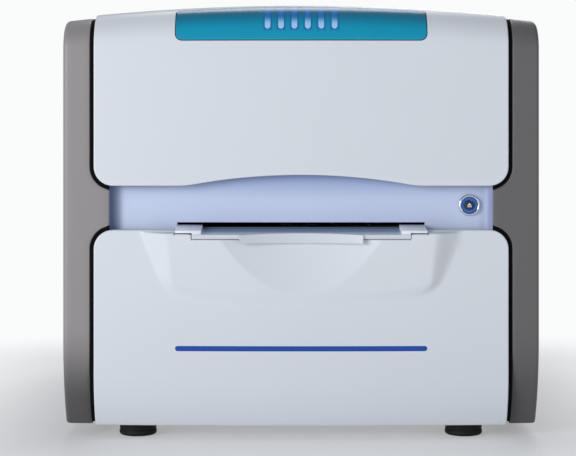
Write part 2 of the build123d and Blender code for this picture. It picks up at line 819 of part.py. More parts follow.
with BuildPart() as slide_tray:
    slab((-carrier_half, carrier_half), (nose_front, tray_front), (0, overall_height))
    slab((-nose_half, nose_half), (lip_root_y, tray_front), (bulge_top + fit_gap, overall_height))
    slab((-lip_half, lip_half), (-overall_depth, lip_root_y + 3), (0, overall_height), mode=Mode.SUBTRACT)
    extrude(lip_outline.sketch, amount=overall_height)
    add(nose_wedge(carrier_bottom, 0.0), mode=Mode.INTERSECT)
    with BuildPart(mode=Mode.PRIVATE) as skirt:
        extrude(lip_outline.sketch, amount=carrier_bottom + 1)
        slab((-overall_width, overall_width), (-overall_depth, 0), (0, lip_bottom), mode=Mode.SUBTRACT)
        rod((0, scoop_centre_y, 0), (0, scoop_centre_y, overall_height), scoop_radius - 1.0,
            mode=Mode.INTERSECT)
    add(skirt.part)
    slab((-carrier_half, carrier_half), (tray_front, tray_rear), (tray_bottom, tray_floor + tray_rim))
    for x in slide_places:
        slab(
            (x - slide_width / 2 - fit_gap, x + slide_width / 2 + fit_gap),
            (slide_centre_y - slide_length / 2 - fit_gap, slide_centre_y + slide_length / 2 + fit_gap),
            (tray_floor, tray_floor + 2 * tray_rim), mode=Mode.SUBTRACT,
        )
        slab(
            (x - window_width / 2, x + window_width / 2),
            (slide_centre_y - window_length / 2, slide_centre_y + window_length / 2),
            (carrier_bottom, tray_floor + 1), mode=Mode.SUBTRACT,
        )
save(slide_tray, "slide_tray")

guide_front = nose_front + 1
with BuildPart() as corner_guides:
    for x in both_sides(guide_inner, nose_half):
        slab(x, (guide_front, tray_front), (0, overall_height))
    for x in both_sides(0, nose_half - guide_arm):
        slab(x, (guide_front + guide_arm, 0), (0, overall_height), mode=Mode.SUBTRACT)
    add(nose_wedge(carrier_bottom, guide_height), mode=Mode.INTERSECT)
    add(nose_wedge(carrier_bottom - 1, 0.0), mode=Mode.SUBTRACT)
    for x in both_sides(carrier_half, overall_width):
        slab(x, (-overall_depth, lip_root_y), (0, bulge_top + 2 * fit_gap), mode=Mode.SUBTRACT)
save(corner_guides, "corner_guides")

with BuildPart() as glass_slides:
    for x in slide_places:
        slab(
            (x - slide_width / 2, x + slide_width / 2),
            (slide_centre_y - slide_length / 2, slide_centre_y + slide_length / 2),
            (tray_floor, tray_floor + slide_thickness),
        )
save(glass_slides, "glass_slides")

# ---- Screw drives -------------------------------------------------------------------------------


def motor(name, place, way, bracket=None):
    """Square stepper motor whose front face is at a place, its body running along a way."""
    with BuildPart() as body:
        with Locations(Plane(origin=place, x_dir=(0, 0, 1), z_dir=way)):
            Box(motor_size, motor_size, motor_length, align=(Align.CENTER, Align.CENTER, Align.MIN))
        along = body.edges().filter_by(Axis(place, way))
        chamfer(along, 3)
        if bracket:
            slab(*bracket)
        end = Vector(*place) - Vector(*way) * 20
        rod(tuple(end), place, drive_screw_radius + 1.5, mode=Mode.SUBTRACT)
        rod(place, tuple(Vector(*place) + Vector(*way) * 10), drive_screw_radius + thread_gap,
            mode=Mode.SUBTRACT)
    save(body, name)


def drive_screw(name, start, end):
    """Drive screw with the shoulder that shows its thread's outer edge."""
    with BuildPart() as screw:
        rod(start, end, drive_screw_radius)
    save(screw, name)


drawer_motor_y = carrier_rear + 82.0
motor_half = motor_size / 2
motor(
    "drawer_motor", (drawer_screw_x, drawer_motor_y, drawer_screw_z), (0, 1, 0),
    (
        (drawer_screw_x - motor_half, drawer_screw_x + motor_half),
        (drawer_motor_y - 5, drawer_motor_y), (base_top, drawer_screw_z + motor_half),
    ),
)
drive_screw(
    "drawer_screw", (drawer_screw_x, base_front + 3, drawer_screw_z),
    (drawer_screw_x, drawer_motor_y + 9, drawer_screw_z),
)

with BuildPart() as screw_bracket:
    slab(nut_x, (base_front + 2, base_front + 11), (base_top, drawer_screw_z + 8))
    rod((drawer_screw_x, base_front, drawer_screw_z), (drawer_screw_x, base_front + 20, drawer_screw_z),
        drive_screw_radius + thread_gap, mode=Mode.SUBTRACT)
save(screw_bracket, "screw_bracket")

stage_motor_y = stage_rear + 42.0
motor(
    "stage_motor", (0, stage_motor_y, base_top + motor_half), (0, 1, 0),
    ((-motor_half, motor_half), (stage_motor_y - 5, stage_motor_y), (base_top, base_top + motor_size)),
)
drive_screw(
    "stage_screw", (0, stage_front - stage_travel, base_top + motor_half),
    (0, stage_motor_y + 9, base_top + motor_half),
)

# ---- Long-axis stage ----------------------------------------------------------------------------


def guide_rails(name, along_y, places, span, low):
    """Pair of guide rails at two places across, over a span."""
    with BuildPart() as rails:
        for place in places:
            across = (place - guide_rail_width / 2, place + guide_rail_width / 2)
            if along_y:
                slab(across, span, (low, low + guide_rail_height))
            else:
                slab(span, across, (low, low + guide_rail_height))
    save(rails, name)


def rail_channel(along_y, place, low):
    """Cut the clearance round one guide rail out of the part being built."""
    half = guide_rail_width / 2 + running_gap
    across = (place - half, place + half)
    long = (-overall_depth, overall_depth)
    height = (low - 5, low + guide_rail_height + running_gap)
    if along_y:
        slab(across, long, height, mode=Mode.SUBTRACT)
    else:
        slab(long, across, height, mode=Mode.SUBTRACT)


stage_rail_places = (-stage_rail_x, stage_rail_x)
head_rail_places = (head_front + 15, head_rear - 15)
head_screw_y = (head_front + head_rear) / 2
head_screw_z = stage_top + motor_half

guide_rails("stage_rails", True, stage_rail_places, (stage_front - 45, stage_rear + 38), base_top)

with BuildPart() as stage_plate:
    slab((-stage_half, stage_half), (stage_front, stage_rear), (stage_bottom, stage_top))
    slab((-stage_ear_half, stage_ear_half), (head_screw_y - 18, head_screw_y + 18), (stage_bottom, stage_top))
    slab((-11, 11), (0, 20), (base_top + 6, stage_bottom))
    for x in both_sides(stage_ear_half - 5, stage_ear_half):
        slab(x, (head_screw_y - 12, head_screw_y + 12), (stage_top, head_screw_z + 9))
    rod((-overall_width, head_screw_y, head_screw_z), (overall_width, head_screw_y, head_screw_z),
        drive_screw_radius + thread_gap, mode=Mode.SUBTRACT)
    rod((0, stage_front - 1, base_top + motor_half), (0, stage_rear + 1, base_top + motor_half),
        drive_screw_radius + thread_gap, mode=Mode.SUBTRACT)
save(stage_plate, "stage_plate")

with BuildPart() as stage_blocks:
    for x in stage_rail_places:
        for y in (stage_front + 5, stage_rear - 5 - guide_block_length):
            slab(
                (x - guide_block_width / 2, x + guide_block_width / 2), (y, y + guide_block_length),
                (base_top + 3, stage_bottom),
            )
    for x in stage_rail_places:
        rail_channel(True, x, base_top)
save(stage_blocks, "stage_blocks")

# ---- Cross-axis head carriage -------------------------------------------------------------------
guide_rails("head_rails", False, head_rail_places, (-stage_half, stage_half), stage_top)
motor("head_motor", (stage_ear_half, head_screw_y, head_screw_z), (1, 0, 0))
drive_screw(
    "head_screw", (-stage_ear_half + 1, head_screw_y, head_screw_z),
    (stage_ear_half + 9, head_screw_y, head_screw_z),
)

with BuildPart() as head_carriage:
    slab((-head_half, head_half), (head_front, head_rear), (head_bottom, head_top))
    for y in head_rail_places:
        slab(
            (-head_half, head_half), (y - guide_block_width / 2, y + guide_block_width / 2),
            (stage_top + 3, head_bottom),
        )
    slab((-12, 12), (head_screw_y - 9, head_screw_y + 9), (stage_top + 3, head_bottom))
    for y in head_rail_places:
        rail_channel(False, y, stage_top)
    rod((-overall_width, head_screw_y, head_screw_z), (overall_width, head_screw_y, head_screw_z),
        drive_screw_radius + thread_gap, mode=Mode.SUBTRACT)
save(head_carriage, "head_carriage")

# ---- Scan arm: column, lower and upper arms, condenser, camera ----------------------------------
axis_y = slide_centre_y

with BuildPart() as scan_column:
    slab((-column_half, column_half), (column_front, column_rear), (head_top, upper_arm_bottom))
    fillet(scan_column.edges().filter_by(Axis.Z), 4)
save(scan_column, "scan_column")

with BuildPart() as lower_arm:
    slab((-arm_half, arm_half), (arm_front, column_front), (lower_arm_bottom, lower_arm_top))
    fillet(lower_arm.edges().filter_by(Axis.Z).group_by(Axis.Y)[0], 8)
    rod((0, axis_y, 0), (0, axis_y, overall_height), light_bore, mode=Mode.SUBTRACT)
save(lower_arm, "lower_arm")

with BuildPart() as condenser:
    rod((0, axis_y, lower_arm_top), (0, axis_y, condenser_top), condenser_radius)
    chamfer(condenser.edges().group_by(Axis.Z)[-1], 5)
    rod((0, axis_y, lower_arm_top - 30), (0, axis_y, condenser_top + 1), 7, mode=Mode.SUBTRACT)
save(condenser, "condenser")

with BuildPart() as lamp_module:
    rod((0, axis_y, lower_arm_bottom - lamp_height), (0, axis_y, lower_arm_bottom), lamp_radius + 3)
    for z in (3, 8, 13):
        with BuildSketch(Plane.XY.offset(lower_arm_bottom - lamp_height + z)) as groove:
            with Locations((0, axis_y)):
                Circle(lamp_radius + 4)
                Circle(lamp_radius, mode=Mode.SUBTRACT)
        extrude(groove.sketch, amount=2, mode=Mode.SUBTRACT)
save(lamp_module, "lamp_module")

focus_rail_y = (hanger_front - focus_rail_depth, hanger_front)

with BuildPart() as upper_arm:
    slab((-arm_half, arm_half), (arm_front, column_rear), (upper_arm_bottom, upper_arm_top))
    fillet(upper_arm.edges().filter_by(Axis.Z).group_by(Axis.Y)[0], 8)
    slab(
        (-arm_half, coil_x + magnet_size / 2), (hanger_front, hanger_front + hanger_thickness),
        (hanger_bottom, upper_arm_bottom),
    )
    slab((-focus_rail_width / 2, focus_rail_width / 2), focus_rail_y, (hanger_bottom + 4, upper_arm_bottom))
    rod((0, axis_y, upper_arm_bottom - 1), (0, axis_y, overall_height), light_bore, mode=Mode.SUBTRACT)
save(upper_arm, "upper_arm")

with BuildPart() as camera:
    tube_top = upper_arm_top + tube_height
    rod((0, axis_y, upper_arm_top), (0, axis_y, tube_top), tube_radius)
    half = camera_size / 2
    slab((-half, half), (axis_y - half, axis_y + half), (tube_top, tube_top + camera_height))
    fillet(camera.edges().filter_by(Axis.Z), 3)
    rod((0, axis_y, upper_arm_top - 1), (0, axis_y, tube_top - 5), light_bore, mode=Mode.SUBTRACT)
save(camera, "camera")

# ---- Focus slide, objective and actuator --------------------------------------------------------
focus_block_y = (hanger_front - focus_rail_depth - 9, hanger_front - 1.5)
coil_y = (focus_block_y[0] + focus_block_y[1]) / 2

with BuildPart() as focus_slide:
    slab((-focus_block_half, focus_block_half), focus_block_y, (focus_block_bottom, focus_block_top))
    slab((-holder_half, holder_half), (arm_front, focus_block_y[0]), (holder_bottom, holder_top))
    slab((focus_block_half, coil_x + coil_radius), (coil_y - 4, coil_y + 4), (magnet_top + 5, magnet_top + 10))
    rod((coil_x, coil_y, magnet_bottom + 8), (coil_x, coil_y, magnet_top + 10), coil_radius)
    slab(
        (-focus_rail_width / 2 - running_gap, focus_rail_width / 2 + running_gap),
        (focus_rail_y[0] - running_gap, 0), (0, overall_height), mode=Mode.SUBTRACT,
    )
    rod((0, axis_y, holder_bottom - 1), (0, axis_y, holder_top + 1), 10, mode=Mode.SUBTRACT)
save(focus_slide, "focus_slide")

with BuildPart() as objective:
    with BuildSketch(Plane.XZ.offset(-axis_y)):
        with BuildLine():
            Polyline(
                (0, objective_tip), (objective_tip_radius, objective_tip),
                (objective_radius - 2, objective_tip + objective_cone),
                (objective_radius, objective_tip + objective_cone + 4),
                (objective_radius, holder_bottom), (9.9, holder_bottom), (9.9, holder_top),
                (0, holder_top), (0, objective_tip),
            )
        make_face()
    revolve(axis=Axis((0, axis_y, 0), (0, 0, 1)))
save(objective, "objective")

with BuildPart() as focus_magnet:
    half = magnet_size / 2
    slab((coil_x - half, coil_x + half), (coil_y - half, hanger_front), (magnet_bottom, magnet_top))
    rod((coil_x, coil_y, magnet_bottom + 3), (coil_x, coil_y, overall_height), coil_radius + 1,
        mode=Mode.SUBTRACT)
save(focus_magnet, "focus_magnet")

# ---- Electronics --------------------------------------------------------------------------------
unit_y = (rear_y - 102, rear_y - 20)
with BuildPart() as power_supply:
    slab((-base_half + 10, -base_half + 130), unit_y, (base_top, base_top + 50))
    with Locations((-base_half + 70, sum(unit_y) / 2, base_top + 50)):
        with GridLocations(12, 40, 7, 2):
            Box(5, 24, 4, mode=Mode.SUBTRACT)
save(power_supply, "power_supply")

with BuildPart() as image_processor:
    slab((base_half - 133, base_half - 13), unit_y, (base_top, base_top + 82))
    with Locations((base_half - 73, sum(unit_y) / 2, base_top + 82)):
        with GridLocations(10, 0, 10, 1):
            Box(4, 70, 12, mode=Mode.SUBTRACT)
save(image_processor, "image_processor")

board_x = base_half - 10
with BuildPart() as controller_board:
    slab((board_x, board_x + board_thickness), (-60, 110), (180, 300))
    for y in (-52, 102):
        for z in (188, 292):
            rod((board_x + board_thickness / 2, y, z), (base_half, y, z), 3)
    for y, z, length, height, depth in (
        (-40, 270, 30, 14, 9), (10, 270, 30, 14, 9), (60, 270, 30, 14, 9),
        (-35, 200, 26, 26, 4), (15, 205, 34, 34, 5), (70, 200, 20, 30, 12),
    ):
        slab((board_x - depth, board_x), (y, y + length), (z, z + height))
save(controller_board, "controller_board")

# ---- Rear services: inlet, switch, sockets, fan -------------------------------------------------
service_face = rear_plane + sheet


def socket_box(x, size, depth, recess, recess_depth):
    """Service body through the rear panel, with a flange outside and a recess in its face."""
    with BuildPart() as body:
        slab(
            (x - size[0] / 2 + 0.2, x + size[0] / 2 - 0.2), (service_face - depth, service_face),
            (service_z - size[1] / 2 + 0.2, service_z + size[1] / 2 - 0.2),
        )
        slab(
            (x - size[0] / 2 - 1.2, x + size[0] / 2 + 1.2), (service_face, service_face + socket_flange),
            (service_z - size[1] / 2 - 1.2, service_z + size[1] / 2 + 1.2),
        )
        slab(
            (x - recess[0] / 2, x + recess[0] / 2), (service_face + socket_flange - recess_depth, rear_y),
            (service_z - recess[1] / 2, service_z + recess[1] / 2), mode=Mode.SUBTRACT,
        )
    return body.part


inlet_recess = 18.0
pin_length = 13.0
pin_start = service_face + socket_flange - inlet_recess

with BuildPart() as power_inlet:
    add(socket_box(inlet_x, inlet_size, 26, (24, 17), inlet_recess))
    for x, z in ((-7, -1.5), (0, 2.5), (7, -1.5)):
        slab(
            (inlet_x + x - 1, inlet_x + x + 1), (pin_start - 1, pin_start + pin_length),
            (service_z + z - 2.2, service_z + z + 2.2),
        )
save(power_inlet, "power_inlet")

with BuildPart() as data_sockets:
    add(socket_box(network_x, network_size, 18, (11.8, 8.4), 12))
    add(socket_box(data_x, data_size, 18, (8.6, 7.8), 12))
save(data_sockets, "data_sockets")

with BuildPart() as switch_housing:
    add(socket_box(switch_x, switch_size, 22, (16, 10.4), 14))
save(switch_housing, "switch_housing")

rocker_tilt = 8.0
rocker_pivot_y = service_face - 4
with BuildPart() as power_rocker:
    with BuildSketch(Plane.XY.offset(service_z - 4.9)):
        with Locations((switch_x, rocker_pivot_y)):
            with Locations(Location((0, 0), -rocker_tilt)):
                Polygon((-6.9, -2), (6.9, -2), (6.9, 4.6), (0, 3.4), (-6.9, 4.6), align=None)
    extrude(amount=9.8)
    rod((switch_x, rocker_pivot_y, service_z - 5.15), (switch_x, rocker_pivot_y, service_z + 5.15), 1.2)
save(power_rocker, "power_rocker")

fan_front = rear_plane - fan_depth
with BuildPart() as fan_housing:
    half = fan_size / 2
    slab((fan_x - half, fan_x + half), (fan_front, rear_plane), (fan_z - half, fan_z + half))
    fillet(fan_housing.edges().filter_by(Axis.Y), 5)
    rod((fan_x, fan_front - 1, fan_z), (fan_x, rear_plane + 1, fan_z), fan_bore, mode=Mode.SUBTRACT)
    slab((fan_x - 2.5, fan_x + 2.5), (fan_front, fan_front + 3), (fan_z - fan_bore - 1, fan_z + fan_bore + 1))
    slab((fan_x - fan_bore - 1, fan_x + fan_bore + 1), (fan_front, fan_front + 3), (fan_z - 2.5, fan_z + 2.5))
    rod((fan_x, fan_front, fan_z), (fan_x, fan_front + 4, fan_z), fan_hub)
    rod((fan_x, fan_front, fan_z), (fan_x, fan_front + 18, fan_z), fan_pin)
save(fan_housing, "fan_housing")

rotor_front = fan_front + 4.5
with BuildPart() as fan_rotor:
    with Locations(Plane(origin=(fan_x, rotor_front + 8.5, fan_z), z_dir=(0, 1, 0))):
        with PolarLocations(0, 7):
            with Locations(((fan_hub + fan_blade_tip) / 2, 0, 0)):
                Box(fan_blade_tip - fan_hub + 6, 1.6, 17, rotation=(32, 0, 0))
    with BuildPart(mode=Mode.PRIVATE) as swept:
        rod((fan_x, rotor_front + 1, fan_z), (fan_x, rotor_front + 17, fan_z), fan_blade_tip)
    add(swept.part, mode=Mode.INTERSECT)
    rod((fan_x, rotor_front, fan_z), (fan_x, rotor_front + 17.5, fan_z), fan_hub)
    rod((fan_x, rotor_front - 1, fan_z), (fan_x, rotor_front + 14.5, fan_z), fan_pin + 0.05,
        mode=Mode.SUBTRACT)
save(fan_rotor, "fan_rotor")

guard_wire = 1.8
guard_rings = 5
guard_pitch = 8.6
screw_circle = fan_screw_spacing / sqrt(2)
with BuildPart() as fan_guard:
    with BuildSketch(Plane.XZ.offset(-service_face)):
        with Locations((fan_x, fan_z)):
            for ring in range(1, guard_rings + 1):
                Circle(ring * guard_pitch + guard_wire / 2)
                Circle(ring * guard_pitch - guard_wire / 2, mode=Mode.SUBTRACT)
            with PolarLocations(0, 4, start_angle=45):
                with Locations(((screw_circle + guard_pitch) / 2, 0)):
                    Rectangle(screw_circle - guard_pitch, guard_wire)
                with Locations((screw_circle, 0)):
                    Circle(4)
    extrude(amount=-guard_wire)
save(fan_guard, "fan_guard")
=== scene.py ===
"""Looks of the digital slide scanner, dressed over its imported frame."""
import json
import logging
import math
from dataclasses import dataclass, field
from enum import Enum
from typing import Callable, Sequence

import bpy
from mathutils import Matrix, Vector

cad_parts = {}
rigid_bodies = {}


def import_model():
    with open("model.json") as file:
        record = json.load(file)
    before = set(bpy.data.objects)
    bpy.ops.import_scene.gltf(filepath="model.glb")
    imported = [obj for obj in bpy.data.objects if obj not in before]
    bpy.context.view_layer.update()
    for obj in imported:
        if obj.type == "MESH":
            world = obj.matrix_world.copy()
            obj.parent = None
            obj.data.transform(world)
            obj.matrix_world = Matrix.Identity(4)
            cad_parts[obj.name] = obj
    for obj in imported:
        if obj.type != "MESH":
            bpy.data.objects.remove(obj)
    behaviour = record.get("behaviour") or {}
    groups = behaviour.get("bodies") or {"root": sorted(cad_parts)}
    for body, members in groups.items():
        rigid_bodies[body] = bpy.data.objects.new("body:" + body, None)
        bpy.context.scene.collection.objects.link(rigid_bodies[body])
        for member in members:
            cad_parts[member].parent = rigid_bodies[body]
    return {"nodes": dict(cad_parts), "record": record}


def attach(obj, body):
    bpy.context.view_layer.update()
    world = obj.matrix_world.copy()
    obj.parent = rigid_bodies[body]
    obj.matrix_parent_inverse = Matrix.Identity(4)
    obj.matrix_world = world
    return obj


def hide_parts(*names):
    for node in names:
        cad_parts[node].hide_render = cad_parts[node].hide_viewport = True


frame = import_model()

log = logging.getLogger("scanner")
MM = 0.001


class Body(str, Enum):
    """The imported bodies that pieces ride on."""

    HOUSING = "housing"
    BUTTON = "eject_button"
    TRAY = "tray"


# ---- Shading -------------------------------------------------------------------------------------
def forward(operation: str) -> Callable:
    """Operator that puts a Math node behind a wire."""
    return lambda self, *others: self.graph.maths(operation, self, *others)


def reflected(operation: str) -> Callable:
    """The same with the wire on the right-hand side."""
    return lambda self, other: self.graph.maths(operation, other, self)


class Wire:
    """A node's output socket with arithmetic on it."""

    def __init__(self, graph: "Graph", socket: bpy.types.NodeSocket) -> None:
        self.graph = graph
        self.socket = socket

    __add__, __radd__ = forward("ADD"), reflected("ADD")
    __sub__, __rsub__ = forward("SUBTRACT"), reflected("SUBTRACT")
    __mul__, __rmul__ = forward("MULTIPLY"), reflected("MULTIPLY")
    __truediv__, __rtruediv__ = forward("DIVIDE"), reflected("DIVIDE")
    __pow__, __mod__, __abs__ = forward("POWER"), forward("FLOORED_MODULO"), forward("ABSOLUTE")

    def below(self, limit: object) -> "Wire":
        """One where the value is under a limit."""
        return self.graph.maths("LESS_THAN", self, limit)

    def ramp(self, low: float, high: float, start: float = 0.0, end: float = 1.0) -> "Wire":
        """Smooth step of the value between two levels."""
        node = self.graph.node("ShaderNodeMapRange", {"Value": self, "From Min": low, "From Max": high,
                                                      "To Min": start, "To Max": end},
                               interpolation_type="SMOOTHSTEP")
        return Wire(self.graph, node.outputs["Result"])


class Graph:
    """A material's node tree, built through a few short calls."""

    def __init__(self, name: str) -> None:
        self.material = bpy.data.materials.new(name)
        self.material.use_nodes = True
        self.tree = self.material.node_tree
        self.shader = self.tree.nodes["Principled BSDF"]

    @classmethod
    def over(cls, material: bpy.types.Material) -> "Graph":
        """A graph over a material that exists already."""
        graph = cls.__new__(cls)
        graph.material, graph.tree = material, material.node_tree
        graph.shader = graph.tree.nodes["Principled BSDF"]
        return graph

    def node(self, kind: str, inputs: dict[str, object] | None = None, **settings: object) -> bpy.types.Node:
        """Any node, with its settings and inputs.

        Args:
            kind: The node's type.
            inputs: Values or wires by input name.
            settings: The node's own properties.

        Returns:
            The new node.
        """
        made = self.tree.nodes.new(kind)
        for key, value in settings.items():
            setattr(made, key, value)
        for key, value in (inputs or {}).items():
            self._feed(made.inputs[key], value)
        return made

    def _feed(self, socket: bpy.types.NodeSocket, value: object) -> None:
        if isinstance(value, Wire):
            self.tree.links.new(value.socket, socket)
        else:
            socket.default_value = value

    def maths(self, operation: str, *values: object) -> Wire:
        """Math node on wires and numbers."""
        made = self.tree.nodes.new("ShaderNodeMath")
        made.operation = operation
        for socket, value in zip(made.inputs, values):
            self._feed(socket, value)
        return Wire(self, made.outputs[0])

    def mix(self, factor: object, first: object, second: object) -> Wire:
        """Mix of two colours."""
        made = self.node("ShaderNodeMix", data_type="RGBA")
        for socket, value in zip((made.inputs[0], made.inputs[6], made.inputs[7]), (factor, first, second)):
            self._feed(socket, value)
        return Wire(self, made.outputs[2])

    def place(self) -> tuple[Wire, Wire, Wire]:
        """Object coordinates, in metres."""
        coords = self.node("ShaderNodeTexCoord")
        parts = self.node("ShaderNodeSeparateXYZ", {"Vector": Wire(self, coords.outputs["Object"])})
        return tuple(Wire(self, socket) for socket in parts.outputs)

    def noise(self, size_mm: float, detail: float = 2.0, stretch: Sequence[float] = (1, 1, 1)) -> Wire:
        """Noise with features of a given size; stretch lengthens them along an axis."""
        coords = self.node("ShaderNodeTexCoord")
        mapped = self.node("ShaderNodeMapping", {"Vector": Wire(self, coords.outputs["Object"]),
                                                 "Scale": tuple(1 / s for s in stretch)})
        made = self.node("ShaderNodeTexNoise", {"Vector": Wire(self, mapped.outputs["Vector"]),
                                                "Scale": 1 / (size_mm * MM), "Detail": detail})
        return Wire(self, made.outputs["Fac"])

    def bump(self, height: Wire, distance_mm: float, strength: float = 1.0) -> None:
        """Bump of a height on the shader's normal."""
        made = self.node("ShaderNodeBump", {"Height": height, "Distance": distance_mm * MM,
                                            "Strength": strength})
        self.tree.links.new(made.outputs["Normal"], self.shader.inputs["Normal"])

    def set(self, **values: object) -> None:
        """Shader inputs, underscores standing for spaces."""
        for key, value in values.items():
            self._feed(self.shader.inputs[key.replace("_", " ")], value)


def rgb(red: int, green: int, blue: int) -> tuple[float, float, float, float]:
    """Display colour as linear values."""

    def linear(value: int) -> float:
        share = value / 255
        return share / 12.92 if share <= 0.04045 else ((share + 0.055) / 1.055) ** 2.4

    return (linear(red), linear(green), linear(blue), 1.0)


def shade(colour: Sequence[float], factor: float) -> tuple[float, float, float, float]:
    """Colour made lighter or darker."""
    return tuple(min(1.0, c * factor) for c in colour[:3]) + (1.0,)


@dataclass(frozen=True)
class Finish:
    """Moulded plastic, paint or rubber: colour drift, grain and gloss."""

    name: str
    colour: tuple
    roughness: float = 0.42
    grain_mm: float = 0.9
    grain_depth_mm: float = 0.012
    drift: float = 0.03
    coat: float = 0.0
    metallic: float = 0.0
    specular: float = 0.5

    def make(self) -> bpy.types.Material:
        """Build the material."""
        graph = Graph(self.name)
        broad = graph.noise(60, 3)
        fine = graph.noise(self.grain_mm, 3)
        graph.set(
            Base_Color=graph.mix(broad, shade(self.colour, 1 - self.drift),
                                 shade(self.colour, 1 + self.drift)),
            Roughness=self.roughness + (fine - 0.5) * 0.16,
            Metallic=self.metallic, Specular_IOR_Level=self.specular,
            Coat_Weight=self.coat, Coat_Roughness=0.12,
        )
        graph.bump(fine, self.grain_depth_mm)
        return graph.material


@dataclass(frozen=True)
class Metal:
    """Bare or anodised metal, brushed or turned along one axis."""

    name: str
    colour: tuple
    roughness: float = 0.3
    brush: tuple = (1, 30, 1)
    brush_mm: float = 0.35
    depth_mm: float = 0.006

    def make(self) -> bpy.types.Material:
        """Build the material."""
        graph = Graph(self.name)
        lines = graph.noise(self.brush_mm, 2, self.brush)
        cloud = graph.noise(25, 3)
        graph.set(
            Base_Color=graph.mix(cloud, shade(self.colour, 0.9), shade(self.colour, 1.08)),
            Roughness=self.roughness + (lines - 0.5) * 0.22, Metallic=1.0,
        )
        graph.bump(lines, self.depth_mm)
        return graph.material


@dataclass(frozen=True)
class Lit:
    """Light guide whose glow falls off towards one end."""

    name: str
    colour: tuple
    glow: tuple
    faint: tuple
    strength: float
    low_z: float
    high_z: float

    def make(self) -> bpy.types.Material:
        """Build the material."""
        graph = Graph(self.name)
        _, _, z = graph.place()
        level = z.ramp(self.low_z * MM, self.high_z * MM, 1.0, 0.0)
        frost = graph.noise(1.5, 2)
        body = graph.mix(frost, shade(self.colour, 0.94), self.colour)
        graph.set(
            Base_Color=graph.mix(level, self.faint, body), Roughness=0.3 + frost * 0.08,
            Emission_Color=graph.mix(level, shade(self.faint, 0.3), self.glow),
            Emission_Strength=self.strength, Specular_IOR_Level=0.3,
        )
        return graph.material


@dataclass(frozen=True)
class Window:
    """Tinted window with painted light: painted shade darkens it over the rounded top edge, a painted
    highlight runs along its top rim, and a painted glow lies round each status light.
    """

    name: str
    colour: tuple
    # dark is the colour of the painted shade over the top edge, glow the colour of the painted glow round
    # each light.
    dark: tuple
    glow: tuple
    pitch: float
    count: int
    light_half: float
    turn_z: float
    top_z: float
    crown: float = 1950.0
    # rim is the colour of the painted highlight along the top edge.
    rim: tuple = (0.62, 0.88, 0.93, 1.0)

    def make(self) -> bpy.types.Material:
        """Build the material."""
        graph = Graph(self.name)
        x, _, z = graph.place()
        pitch = self.pitch * MM
        # Painted glow round each status light: blue within reach of a light, only between the lights and
        # above their low edge.
        off_light = abs((x / pitch) % 1.0 - 0.5) * pitch
        near = off_light.ramp(self.light_half * MM, (self.light_half + 2.2) * MM, 1.0, 0.0)
        among = abs(x).below(pitch * self.count / 2) * z.ramp(0.3435, 0.3455)
        # Painted shade darkens the rounded top edge, and a painted highlight lies along the very top as the
        # rim.
        arched = z + x * x / (2 * self.crown * MM)
        high = arched.ramp(self.turn_z * MM, self.top_z * MM)
        rim = arched.ramp((self.top_z + 1.6) * MM, (self.top_z + 2.6) * MM)
        painted_glow = near * among
        cloud = graph.noise(40, 2)
        tint = graph.mix(cloud, shade(self.colour, 0.95), shade(self.colour, 1.05))
        body = graph.mix(high, tint, self.dark)
        # Colour and emission carry the painted glow round the lights; the whole window also has a faint
        # painted glow.
        graph.set(
            Base_Color=graph.mix(rim, graph.mix(painted_glow, body, self.glow), self.rim),
            Roughness=0.24 + cloud * 0.06,
            Specular_IOR_Level=0.35, Coat_Weight=0.15, Coat_Roughness=0.08,
            Emission_Color=graph.mix(painted_glow, shade(self.colour, 0.25), self.glow), Emission_Strength=0.12,
        )
        graph.bump(graph.noise(2.5, 2), 0.004)
        return graph.material


@dataclass(frozen=True)
class Pane:
    """Clear glass with faintly frosted, greenish edges."""

    name: str
    tint: tuple

    def make(self) -> bpy.types.Material:
        """Build the material."""
        graph = Graph(self.name)
        frost = graph.noise(3, 2)
        graph.set(Base_Color=graph.mix(frost, self.tint, shade(self.tint, 1.04)),
                  Roughness=0.04 + frost * 0.05, Transmission_Weight=0.85, IOR=1.5, Alpha=0.45)
        return graph.material


@dataclass(frozen=True)
class Board:
    """Solder mask with fine tracks under it."""

    name: str
    mask: tuple
    track: tuple

    def make(self) -> bpy.types.Material:
        """Build the material."""
        graph = Graph(self.name)
        coords = graph.node("ShaderNodeTexCoord")
        bricks = graph.node("ShaderNodeTexBrick", {"Vector": Wire(graph, coords.outputs["Object"]),
                                                   "Scale": 160.0, "Mortar Size": 0.06})
        lines = Wire(graph, bricks.outputs["Fac"])
        graph.set(Base_Color=graph.mix(lines * 0.6, self.mask, self.track), Roughness=0.38 + lines * 0.1,
                  Coat_Weight=0.3)
        graph.bump(lines, 0.03)
        return graph.material


@dataclass(frozen=True)
class PaintedShade:
    """Moulded plastic with painted shade: its colour changes over a stretch of one axis, where shade falls in
    a recess or light falls off across the part.
    """

    base: Finish
    shade_zones: tuple

    def make(self) -> bpy.types.Material:
        """Build the material."""
        material = self.base.make()
        graph = Graph.over(material)
        socket = graph.shader.inputs["Base Color"]
        colour = Wire(graph, socket.links[0].from_socket)
        axes = dict(zip("xyz", graph.place()))
        # Each zone paints shade: a smooth ramp along one axis mixes in the shaded colour.
        for axis, both_ways, low, high, other in self.shade_zones:
            value = abs(axes[axis]) if both_ways else axes[axis]
            if low < high:
                share = value.ramp(low * MM, high * MM)
            else:
                share = value.ramp(high * MM, low * MM, 1.0, 0.0)
            colour = graph.mix(share, colour, other)
        graph.tree.links.new(colour.socket, socket)
        return material


